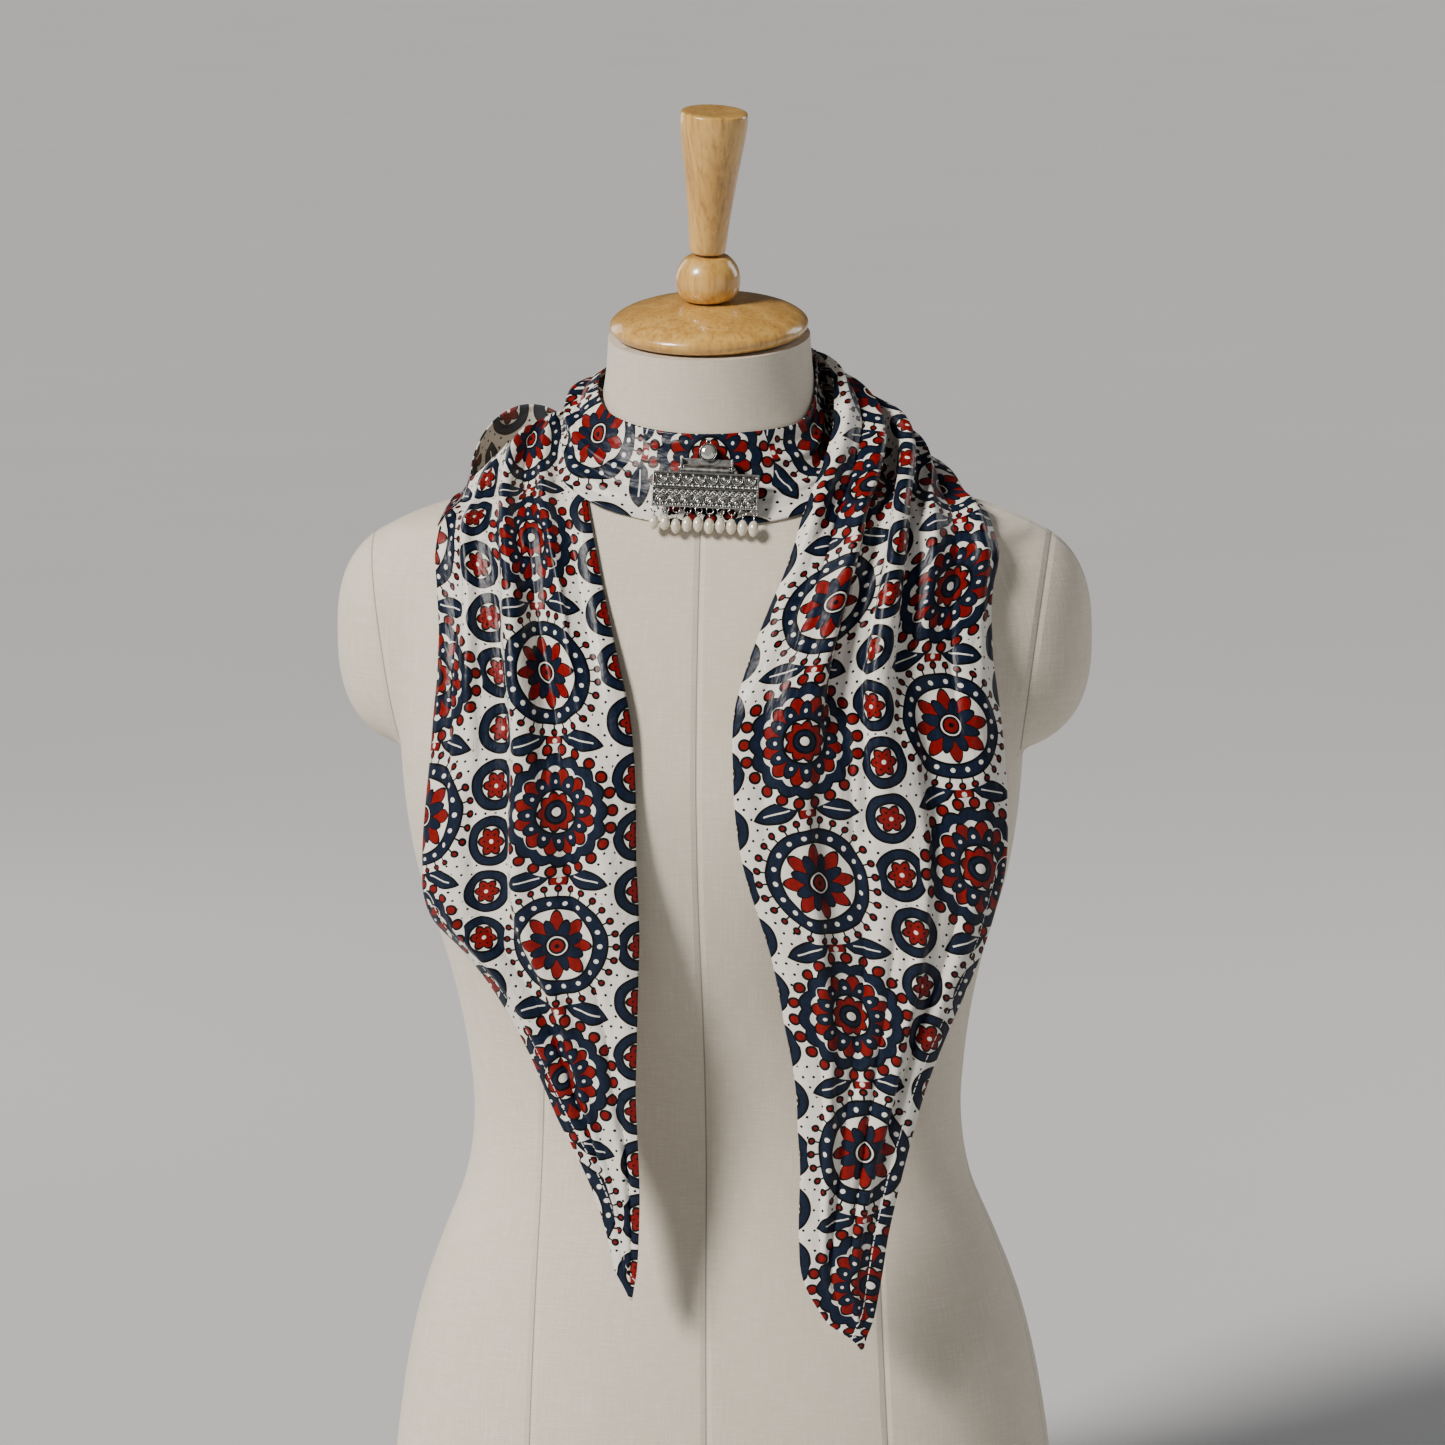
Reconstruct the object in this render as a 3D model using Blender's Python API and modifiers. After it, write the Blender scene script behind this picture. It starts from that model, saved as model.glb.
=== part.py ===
"""Printed scarf with a hinged silver brooch, worn on a limbless dress form.

Metres, +Z up. The front faces -Y and +X is the viewer's right. The origin is the centre of the flat base.
"""

import math

import bmesh
import bpy
import numpy as np
from mathutils import Matrix, Vector
from mathutils.bvhtree import BVHTree

MM = 0.001

# Dress form: one row a level. Half width, front and back depth, and the section's middle, in mm.
FORM_COLUMNS = ("z", "half", "front", "back", "mid", "square")
FORM_ROWS = (
    (0, 176, 90, 110, 12, 2.3),
    (40, 180, 93, 116, 13, 2.3),
    (80, 182, 95, 119, 14, 2.3),
    (115, 178, 95, 117, 13, 2.3),
    (150, 172, 94, 112, 10, 2.3),
    (184, 163.5, 91, 105, 7, 2.3),
    (218, 151, 87, 96, 3, 2.25),
    (251, 138, 81, 87, 0, 2.2),
    (285, 133, 78, 80, 0, 2.2),
    (319, 135, 81, 77, -2, 2.2),
    (352, 140, 89, 77, -6, 2.2),
    (386, 148, 101, 80, -10, 2.25),
    (419, 158, 112, 84, -13, 2.3),
    (452, 164, 119, 89, -15, 2.3),
    (485, 167, 121, 93, -15, 2.3),
    (520, 168, 115, 96, -13, 2.3),
    (552, 169, 105, 95, -10, 2.3),
    (580, 171, 94, 90, -6, 2.25),
    (600, 174, 85, 82, -4, 2.2),
    (611, 169, 80, 76, -3, 2.15),
    (618, 152, 77, 72, -3, 2.1),
    (625, 127, 74, 68, -4, 2.1),
    (633, 101, 71.5, 64, -5, 2.0),
    (642, 81, 69, 60, -6, 2.0),
    (651, 70, 67, 56, -7, 2.0),
    (662, 63, 65, 52, -8, 2.0),
    (675, 58.5, 63.5, 48.5, -8.5, 2.0),
    (690, 55.5, 63, 45.5, -9, 2.0),
    (711, 53.8, 62.8, 44.8, -9, 2.0),
)
BUST = {"x": 72, "z": 472, "wide": 38, "tall": 46, "rise": 9}
ARM = {"x": 146, "z": 549, "reach": 57.5, "deep": 52, "tall": 62.5, "square": 2.6, "blend": 5}
NECK_LEAN = math.radians(9)
NECK_LEAN_FROM = 615 * MM
NECK_TOP = 711 * MM
NECK_MIDDLE_Y = -9 * MM
FORM_SIDES = 40
FORM_LEVELS = 41
FINE_SIDES = 128
FINE_LEVELS = 200

# Turned wood on the neck, as radius and height along its own axis, in mm, from the top down its outer side
DISC_PROFILE = (
    (0, 18.2), (15, 18.2), (24, 17.5), (36, 15.5), (47, 12), (52.5, 8), (53.3, 5), (51, 1.5), (46, 0), (0, 0)
)
BALL_PROFILE = (
    (0, 43.2), (10, 43.2), (13, 41), (16.4, 36), (17.5, 30), (17, 25), (14.5, 20.5), (11, 18.6), (0, 18.6)
)
HANDLE_PROFILE = (
    (0, 121), (17, 121), (18, 119.5), (18, 113.5), (16.9, 104.5), (14.2, 86.5), (11.6, 66.5), (9.8, 46.8),
    (9.2, 44.4), (0, 44.4)
)
HANDLE_LEAN = math.radians(4)
SEAT_GAP = 0.3 * MM

# Cloth
WALL = 1.4 * MM
BAND_WALL = 2.2 * MM
CLOTH_GAP = 0.9 * MM
LAYER_GAP = 0.8 * MM
LAYER_REACH = 60 * MM
LAYER_MARGIN = 2.5 * MM
SEAM_GAP = 0.5 * MM
SEAM_EASE = (1, 0.6, 0.2)

# Folded band round the neck: angle from the front, +X side positive; upper edge's level; height along the
# form; lift off the form at the upper edge, in the roll and at the lower edge. Degrees and mm.
BAND_COLUMNS = ("angle", "top", "height", "lift_top", "lift_mid", "lift_low")
BAND_MIDDLE = 0.4
BAND_REACH = 115 * MM
BAND_ROWS = (
    (-107, 691, 21, 3, 11, 10),
    (-92, 688, 26, 3, 15, 14),
    (-78, 681, 38, 3, 16, 10),
    (-62, 673, 47, 2, 11, 6),
    (-46, 669, 50, 1, 5, 4),
    (-28, 666, 49, 0.9, 1.4, 1.2),
    (-12, 664.5, 49, 0.9, 0.9, 0.9),
    (4, 664, 49, 0.9, 0.9, 0.9),
    (22, 664.5, 50, 0.9, 0.9, 0.9),
    (40, 665.5, 50, 0.9, 0.9, 0.9),
    (58, 668, 46, 0.9, 0.9, 0.9),
    (74, 677, 38, 0.9, 0.9, 0.9),
    (88, 689, 34, 0.9, 0.9, 0.9),
    (103, 698, 34, 0.9, 0.9, 0.9),
)
UNDER_ROWS = (
    (103.3, 698, 34, 0.9, 0.9, 0.9),
    (125, 700, 35, 0.9, 0.9, 0.9),
    (150, 696, 38, 0.9, 0.9, 0.9),
    (180, 688, 40, 0.9, 0.9, 0.9),
    (208, 679, 40, 0.9, 0.9, 0.9),
    (236, 670, 36, 0.9, 0.9, 0.9),
)
OVER_ROWS = (
    (-107.3, 691, 21, 3, 11, 10),
    (-130, 694, 28, 3.5, 7, 5),
    (-155, 698, 34, 3.5, 5, 4),
    (-180, 700, 38, 3.5, 4.4, 3.5),
    (-208, 702, 38, 3.3, 3.5, 3.3),
    (-233, 702, 37, 3.3, 3.3, 3.3),
)
# Creases along the band: place from its upper edge, depth in mm, half width, and the angles they run between
BAND_CREASES = (
    {"at": 0.30, "deep": -0.9, "wide": 0.16, "from": 8, "to": 70},
    {"at": 0.58, "deep": -1.1, "wide": 0.15, "from": 14, "to": 90},
    {"at": 0.82, "deep": -0.8, "wide": 0.14, "from": 20, "to": 95},
    {"at": 0.45, "deep": -1.4, "wide": 0.16, "from": -104, "to": -40},
    {"at": 0.78, "deep": -1.3, "wide": 0.16, "from": -95, "to": -52},
)
NAPE_CREASES = (
    {"at": 0.30, "deep": 1.0, "wide": 0.2, "from": -240, "to": 240},
    {"at": 0.68, "deep": 1.2, "wide": 0.2, "from": -240, "to": 240},
)

# Tails and loop: one row a station from the neck to the tip, with the edge nearer the middle of the body
# ("in") and the outer edge ("out"), the bulge between them, and how closely each edge hugs the form.
TAIL_COLUMNS = ("in_x", "in_y", "in_z", "out_x", "out_y", "out_z", "bulge", "hug_in", "hug_out")
LEFT_TAIL_ROWS = (
    (-66, 12, 669.5, -127, -21, 635, 13, 0.2, 0),
    (-69, -6, 664, -131, -28, 622, 12, 0.2, 0),
    (-69, -24, 655, -134, -36, 609, 10, 0.5, 0),
    (-64, -48, 642, -136, -48, 594, 9, 1, 0),
    (-57, -78, 617, -138, -60, 577, 8, 0.9, 0),
    (-51, -97, 592, -140, -72, 555, 8, 0.7, 0),
    (-43, -112, 560, -143, -82, 528, 8, 0.3, 0),
    (-34, -124, 523, -145, -89, 498, 7, 0.1, 0),
    (-31, -130, 484, -148, -94, 466, 7, 0, 0),
    (-31, -131, 446, -149, -98, 437, 6, 0, 0),
    (-30, -130, 412, -145, -101, 412, 5, 0, 0),
    (-31, -128, 385, -122, -104, 389, 4, 0, 0),
    (-32, -126, 350, -96, -108, 351, 3, 0, 0),
    (-33, -124, 320, -82, -110, 321, 3, 0, 0),
    (-32, -122, 289, -67, -112, 290, 2, 0, 0),
    (-32, -121, 258, -53.5, -113, 258, 1, 0, 0),
    (-33, -120, 232, -47, -115, 233, 0.5, 0, 0),
    (-36, -119, 209, -43, -117, 209, 0, 0, 0),
)
RIGHT_TAIL_ROWS = (
    (48, 28, 703, 55, 32, 667, 0, 1, 1),
    (56, 18, 702, 63, 24, 665, 1, 0.8, 0.8),
    (62, 6, 698, 76, 30, 655, 5, 0.2, 0.3),
    (66, -8, 689, 93, 36, 643, 9, 0, 0),
    (68, -23, 675, 110, 32, 637, 12, 0, 0),
    (67, -39, 661, 124, 20, 634, 12, 0, 0),
    (62, -56, 645, 133, 4, 628, 12, 0.2, 0),
    (54, -74, 625, 139, -14, 617, 11, 0.6, 0),
    (47, -92, 603, 144, -36, 600, 11, 0.8, 0),
    (37, -107, 580, 148, -50, 580, 10, 0.6, 0),
    (29, -117, 558, 151, -59, 562, 10, 0.3, 0),
    (21, -127, 530, 154, -67, 547, 9, 0, 0),
    (20, -131, 500, 159, -78, 516, 9, 0, 0),
    (21, -132, 472, 162, -87, 482, 8, 0, 0),
    (25, -132, 444, 163, -93, 450, 7, 0, 0),
    (33, -130, 417, 157, -98, 420, 6, 0, 0),
    (40, -128, 393, 149, -101, 394, 5, 0, 0),
    (45, -126, 363, 136, -104, 365, 5, 0, 0),
    (51, -125, 330, 121, -107, 331, 4, 0, 0),
    (52, -123, 300, 112.5, -109, 301, 4, 0, 0),
    (52.5, -122, 272, 105, -110, 273, 3, 0, 0),
    (52, -121, 243, 98.5, -111, 244, 3, 0, 0),
    (56, -120, 215, 94, -112, 216, 2, 0, 0),
    (69, -119, 196, 90, -113, 197, 1, 0, 0),
    (79, -118, 183, 87, -116, 183, 0, 0, 0),
)
# The loop stands on the shoulder: "in" is its lower edge and "out" its upper one, neck to outer fold.
LOOP_ROWS = (
    (-67, 39, 641, -53, 25, 668, 0, 1, 1),
    (-75, 37, 637, -64, 25, 660, 0, 1, 0.8),
    (-84, 36, 631, -77, 25, 660, 1, 1, 0.1),
    (-95, 34, 624, -88, 24, 668, 1, 1, 0),
    (-107, 30, 618, -101, 22, 671, 2, 1, 0),
    (-119, 22, 614, -113, 18, 667, 2, 1, 0),
    (-129, 8, 611, -122, 9, 658, 2, 0.7, 0),
    (-133, -8, 610, -127, -3, 646, 1, 0.3, 0),
    (-133.5, -27, 609, -127, -15, 635, 1, 0, 0),
)
# Folds: place across (0 in, 1 out) at the start and end station, those stations, height, half width
FOLD_COLUMNS = ("from", "to", "at_from", "at_to", "rise", "wide")
FOLD_FULL_WIDTH = 105 * MM
LEFT_FOLDS = (
    (0.00, 0.42, 0.30, 0.16, -4.5, 0.13),
    (0.00, 0.62, 0.50, 0.43, 3.5, 0.15),
    (0.06, 0.86, 0.68, 0.62, -3.0, 0.12),
    (0.16, 0.90, 0.82, 0.84, 2.5, 0.12),
    (0.45, 0.97, 0.25, 0.30, 2.2, 0.15),
)
RIGHT_FOLDS = (
    (0.04, 0.46, 0.36, 0.44, -8, 0.12),
    (0.03, 0.60, 0.18, 0.20, 4.0, 0.12),
    (0.08, 0.62, 0.54, 0.58, 6.0, 0.12),
    (0.08, 0.55, 0.70, 0.70, -5.0, 0.11),
    (0.16, 0.80, 0.86, 0.82, 3.5, 0.12),
    (0.38, 0.74, 0.30, 0.34, -3.5, 0.12),
    (0.55, 0.97, 0.55, 0.62, 3.2, 0.14),
    (0.60, 0.95, 0.80, 0.80, -2.2, 0.12),
)
LOOP_FOLDS = ((0.15, 0.85, 0.5, 0.5, 3.0, 0.4),)
EDGE_CURL = 4 * MM
EDGE_CURL_WIDE = 0.12
STATION_CROWDING = 1.3
LOOP_MEETS_STATION = 5

# Brooch, in mm, in its own frame: X along the hinge, Z up along the plate, Y into the cloth
HINGE = Vector((3.4, -75.5, 647.3)) * MM
TURN = math.radians(2.6)
LEAN = math.radians(14.6)
PLATE = {"wide": 55.8, "tall": 18.6, "thick": 1.3, "below": 2.3, "rim": 0.9, "rim_rise": 0.45}
TUBE = {"long": 24.8, "radius": 1.75, "bore": 1.05, "pin": 0.75}
WEB = {"long": 23.8, "thick": 1.1, "tall": 2.2, "y": 0.05, "z": -2.0}
LUG = {"thick": 1.1, "gap": 0.3, "radius": 1.9, "tall": 5.1, "front": 0.9}
JOINED = 0.1
BAR = {"long": 27.2, "tall": 3.4, "thick": 1.6, "above": 1.9, "back": 4.0}
PIN_END = {"radius": 1.0, "beyond": 0.4}
BEZEL = {
    "x": 0.2, "above": 8.6, "radius": 4.75, "bore": 4.15, "rim": 0.6, "floor": 1.8, "back": 3.7, "round": 0.25
}
STONE = {"radius": 3.85, "table": 2.3, "back": 1.5, "girdle": 0.3, "front": -0.7}
PRONG = {"ring": 1.1, "wire": 0.32, "above": 0.8, "y": 1.9}
BOSS = {"in_a_row": 8, "pitch": 6.6, "radius": 2.0, "sunk": 0.1, "rise": 0.8, "from_edge": 3.2}
EYELET = {"ring": 1.8, "wire": 0.32, "pitch": 5.82, "below": 1.3}
PEARL_EYE = {"ring": 0.95, "wire": 0.25, "turn": math.radians(290), "points": 10}
PEARL_COLUMNS = ("drop", "width", "height")
PEARL_ROWS = (
    (5.6, 5.3, 8.0),
    (5.5, 5.4, 7.9),
    (7.0, 5.0, 8.1),
    (5.8, 5.3, 8.3),
    (5.6, 5.4, 8.2),
    (6.3, 5.4, 8.3),
    (5.7, 5.3, 8.3),
    (6.0, 5.4, 8.4),
    (6.4, 5.3, 8.5),
    (6.6, 5.4, 8.5),
)
PEARL_STRING_GAP = 0.3

# Finishes: colour, roughness, metallic
FINISHES = {
    "linen": ((0.60, 0.54, 0.45, 1), 0.9, 0),
    "wood": ((0.72, 0.45, 0.18, 1), 0.3, 0),
    "scarf": ((0.78, 0.77, 0.73, 1), 0.45, 0),
    "silver": ((0.42, 0.42, 0.42, 1), 0.35, 1),
    "crystal": ((0.80, 0.80, 0.78, 1), 0.05, 0),
    "pearl": ((0.86, 0.84, 0.78, 1), 0.25, 0),
}


def clear_scene():
    for obj in list(bpy.data.objects):
        bpy.data.objects.remove(obj)


def new_collection(name, hidden=False):
    collection = bpy.data.collections.new(name)
    collection.hide_render = hidden
    bpy.context.scene.collection.children.link(collection)
    return collection


def material(name):
    if name in bpy.data.materials:
        return bpy.data.materials[name]
    colour, roughness, metallic = FINISHES[name]
    made = bpy.data.materials.new(name)
    made.use_nodes = True
    shader = made.node_tree.nodes["Principled BSDF"]
    shader.inputs["Base Color"].default_value = colour
    shader.inputs["Roughness"].default_value = roughness
    shader.inputs["Metallic"].default_value = metallic
    return made


def spline(knots, values, at):
    """A smooth curve through the values, with slopes from the neighbouring rows."""
    knots = np.asarray(knots, float)
    values = np.asarray(values, float)
    steps = np.diff(knots)
    rates = np.diff(values, axis=0) / steps.reshape((-1,) + (1,) * (values.ndim - 1))
    slopes = np.empty_like(values)
    slopes[0] = rates[0]
    slopes[-1] = rates[-1]
    before = steps[:-1].reshape((-1,) + (1,) * (values.ndim - 1))
    after = steps[1:].reshape((-1,) + (1,) * (values.ndim - 1))
    slopes[1:-1] = (rates[:-1] * after + rates[1:] * before) / (before + after)
    at = np.clip(np.asarray(at, float), knots[0], knots[-1])
    index = np.clip(np.searchsorted(knots, at, side="right") - 1, 0, len(knots) - 2)
    shape = at.shape + (1,) * (values.ndim - 1)
    step = steps[index].reshape(shape)
    t = ((at - knots[index]) / steps[index]).reshape(shape)
    return (
        values[index] * (1 + 2 * t) * (1 - t) ** 2
        + slopes[index] * step * t * (1 - t) ** 2
        + values[index + 1] * t**2 * (3 - 2 * t)
        + slopes[index + 1] * step * t**2 * (t - 1)
    )


def table(columns, rows):
    """The rows as a dictionary of columns."""
    return dict(zip(columns, np.array(rows, float).T))


FORM = table(FORM_COLUMNS, FORM_ROWS)


def form_points(angle, level):
    """Points of the dress form's surface. The angle runs from the front towards +X; both may be arrays."""
    angle, level = np.broadcast_arrays(np.asarray(angle, float), np.asarray(level, float))
    z_mm = level / MM
    half, front, back, mid, square = (
        spline(FORM["z"], FORM[name], z_mm) for name in ("half", "front", "back", "mid", "square")
    )
    across = np.sin(angle)
    along = -np.cos(angle)
    deep = np.where(along < 0, front + mid, back - mid)
    body = ((np.abs(across) / half) ** square + (np.abs(along) / deep) ** square) ** (-1 / square)
    x_mm = body * across
    bust_from = ((np.abs(x_mm) - BUST["x"]) / BUST["wide"]) ** 2 + ((z_mm - BUST["z"]) / BUST["tall"]) ** 2
    body = body + BUST["rise"] * np.exp(-bust_from) * np.clip(-along, 0, 1)
    share = np.clip(1 - np.abs((z_mm - ARM["z"]) / ARM["tall"]) ** ARM["square"], 0, 1)
    share = share ** (1 / ARM["square"])
    reach = np.maximum(ARM["reach"] * share, 1e-6)
    thick = np.maximum(ARM["deep"] * share, 1e-6)
    a = (across / reach) ** 2 + (along / thick) ** 2
    b = -np.abs(across) * ARM["x"] / reach**2 + mid * along / thick**2
    c = (ARM["x"] / reach) ** 2 + (mid / thick) ** 2 - 1
    under = b**2 - a * c
    arm = np.where(under > 0, (np.sqrt(np.maximum(under, 0)) - b) / a, 0)
    radius = 0.5 * (body + arm + np.sqrt((body - arm) ** 2 + ARM["blend"] ** 2))
    radius = np.where(arm > 0, np.maximum(radius, body), body)
    x = radius * across * MM
    y = (mid + radius * along) * MM
    lean = np.clip((level - NECK_LEAN_FROM) / (NECK_TOP - NECK_LEAN_FROM), 0, 1)
    lean = lean**2 * (3 - 2 * lean)
    z = level + math.tan(NECK_LEAN) * lean * (y - NECK_MIDDLE_Y)
    return np.stack([x, y, z], axis=-1)


def add_mesh(name, points, faces, finish, collection):
    mesh = bpy.data.meshes.new(name)
    mesh.from_pydata([tuple(point) for point in points], [], faces)
    obj = bpy.data.objects.new(name, mesh)
    collection.objects.link(obj)
    mesh.materials.append(material(finish))
    mesh.shade_smooth()
    mesh.set_sharp_from_angle(angle=math.radians(40))
    return obj


def grid_faces(rows, columns, closed=False):
    """Quads over a grid of points listed row by row. A closed grid joins its last column to its first."""
    faces = []
    for row in range(rows - 1):
        for column in range(columns if closed else columns - 1):
            after = (column + 1) % columns
            start = row * columns
            faces.append((start + column, start + after, start + columns + after, start + columns + column))
    return faces


def form_levels(count):
    """Levels from the base to the neck, closer together where the surface turns."""
    marks = np.array([0, 0.20, 0.47, 0.487, 0.51, 0.585, 0.603, 0.62, 0.66, 0.711])
    weights = np.array([3, 7, 2, 4, 6, 4, 5, 8, 6])
    shares = np.concatenate([[0], np.cumsum(weights) / weights.sum()])
    return np.interp(np.linspace(0, 1, count), shares, marks)


def build_form(collection):
    angles = np.arange(FORM_SIDES) * 2 * math.pi / FORM_SIDES
    levels = form_levels(FORM_LEVELS)
    points = form_points(angles[None, :], levels[:, None]).reshape(-1, 3)
    faces = grid_faces(FORM_LEVELS, FORM_SIDES, closed=True)
    faces.append(tuple(range(FORM_SIDES - 1, -1, -1)))
    top = (FORM_LEVELS - 1) * FORM_SIDES
    faces.append(tuple(range(top, top + FORM_SIDES)))
    return add_mesh("dress_form", points, faces, "linen", collection)


def turned(name, profile, finish, collection, frame, steps=32):
    """A solid turned from (radius, height) rows in mm, top to bottom, placed by a matrix."""
    points = [(radius * MM, 0, height * MM) for radius, height in profile]
    mesh = bpy.data.meshes.new(name)
    mesh.from_pydata(points, [(index, index + 1) for index in range(len(points) - 1)], [])
    obj = placed(name, mesh, frame, finish, collection)
    screw = obj.modifiers.new("turn", "SCREW")
    screw.steps = steps
    screw.render_steps = steps
    screw.use_merge_vertices = True
    screw.merge_threshold = 0.00001
    return obj


def build_finial(collection):
    seat = Matrix.Translation((0, NECK_MIDDLE_Y, NECK_TOP)) @ Matrix.Rotation(NECK_LEAN, 4, "X")
    disc = seat @ Matrix.Translation((0, 0, SEAT_GAP))
    turned("neck_disc", DISC_PROFILE, "wood", collection, disc, steps=30)
    turned("finial_ball", BALL_PROFILE, "wood", collection, disc, steps=22)
    foot = Matrix.Translation((0, 0, HANDLE_PROFILE[-1][1] * MM))
    leaning = disc @ foot @ Matrix.Rotation(HANDLE_LEAN, 4, "Y") @ foot.inverted()
    turned("finial_handle", HANDLE_PROFILE, "wood", collection, leaning, steps=22)


class Surface:
    """An outer surface that cloth lies on, as a search tree of its faces."""

    def __init__(self, points, faces):
        self.tree = BVHTree.FromPolygons([tuple(point) for point in points], faces)

    def foot(self, point):
        """Nearest point of the surface, its outward normal, and the height of the point over it."""
        foot, normal, _, _ = self.tree.find_nearest(Vector(point))
        away = Vector(point) - foot
        return foot, normal, away.dot(normal)

    def outermost(self, foot, normal):
        """How far out the surface reaches along a line, or a negative number where it isn't met."""
        start = foot + normal * LAYER_REACH
        hit = self.tree.ray_cast(start, -normal, LAYER_REACH)
        return LAYER_REACH - hit[3] if hit[0] else -LAYER_REACH


def form_surface():
    """The dress form's true surface, fine enough to seat the cloth on."""
    angles = np.arange(FINE_SIDES) * 2 * math.pi / FINE_SIDES
    levels = np.interp(np.linspace(0, 1, FINE_LEVELS), (0, 0.3, 1), (0, 0.45, 0.711))
    points = form_points(angles[None, :], levels[:, None]).reshape(-1, 3)
    return Surface(points, grid_faces(FINE_LEVELS, FINE_SIDES, closed=True))


def grid_normals(points, outward):
    """Unit normals of a grid of points, row by column, turned to the side that outward gives."""
    down = np.gradient(points, axis=0)
    across = np.gradient(points, axis=1)
    normals = np.cross(down, across) * outward
    return normals / np.maximum(np.linalg.norm(normals, axis=2, keepdims=True), 1e-12)


def blurred(field, passes):
    for _ in range(passes):
        padded = np.pad(field, ((1, 1), (1, 1)) + ((0, 0),) * (field.ndim - 2), mode="edge")
        beside = padded[:-2, 1:-1] + padded[2:, 1:-1] + padded[1:-1, :-2] + padded[1:-1, 2:]
        field = (padded[1:-1, 1:-1] * 4 + beside) / 8
    return field


def doubled(points):
    """The grid with a point between each two neighbours."""
    rows, columns = points.shape[:2]
    fine = np.empty((2 * rows - 1, 2 * columns - 1, 3))
    fine[::2, ::2] = points
    fine[1::2, ::2] = (points[:-1] + points[1:]) / 2
    fine[:, 1::2] = (fine[:, :-2:2] + fine[:, 2::2]) / 2
    return fine


def widened(field):
    """The largest value of each point's neighbourhood."""
    padded = np.pad(field, 1, mode="edge")
    rows, columns = field.shape
    beside = [padded[row:row + rows, column:column + columns] for row, column in np.ndindex(3, 3)]
    return np.max(beside, axis=0)


def lift_clear(points, form, layers):
    """Moves grid points out along the form's normals until their faces clear the form and the layers."""
    for _ in range(4):
        fine = doubled(points)
        lack = np.zeros(fine.shape[:2])
        for index in np.ndindex(lack.shape):
            foot, normal, height = form.foot(fine[index])
            wanted = max([CLOTH_GAP] + [layer.outermost(foot, normal) + LAYER_GAP for layer in layers])
            lack[index] = max(wanted - height, 0)
        lift = widened(lack)[::2, ::2]
        lift = np.maximum(lift, blurred(lift, 2))
        for index in np.ndindex(lift.shape):
            points[index] += np.array(form.foot(points[index])[1]) * lift[index]
    return points


def fold_profile(distance):
    return np.where(np.abs(distance) < 1, np.cos(np.clip(distance, -1, 1) * math.pi / 2) ** 2, 0)


def folds_of(rows, stations, places):
    """Height of the folds at each station and place across, in metres."""
    station = stations[:, None]
    place = places[None, :]
    total = np.zeros((len(stations), len(places)))
    for row in rows:
        fold = dict(zip(FOLD_COLUMNS, row))
        share = np.clip((station - fold["from"]) / (fold["to"] - fold["from"]), 0, 1)
        ends = np.sin(share * math.pi) ** 0.6
        middle = fold["at_from"] + (fold["at_to"] - fold["at_from"]) * share
        total += fold["rise"] * MM * ends * fold_profile((place - middle) / fold["wide"])
    return total


def edge_curl(places):
    return np.clip(1 - places / EDGE_CURL_WIDE, 0, 1) ** 2


def join_edge(points, edge, places):
    """Brings a grid's first row to the edge that it goes on from, and eases the next two rows.

    The edge is its points and its outward normals. The gap is measured square to the edge. Where the cloth
    turns outwards at the seam, the gap is wider by what the two walls need.
    """
    at = np.linspace(0, 1, len(edge[0]))
    target, normals = (
        np.stack([np.interp(places, at, field[:, axis]) for axis in range(3)], axis=1) for field in edge
    )
    along = np.gradient(target, axis=0)
    along = along / np.linalg.norm(along, axis=1, keepdims=True)
    step = points[3] - points[0]
    step = step - np.sum(step * along, axis=1, keepdims=True) * along
    step = step / np.linalg.norm(step, axis=1, keepdims=True)
    turn = np.clip(np.sum(normals * step, axis=1, keepdims=True), 0, 1)
    target = target + (SEAM_GAP + WALL * turn) * step
    points[:3] += (target - points[0])[None] * np.array(SEAM_EASE)[:, None, None]


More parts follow.
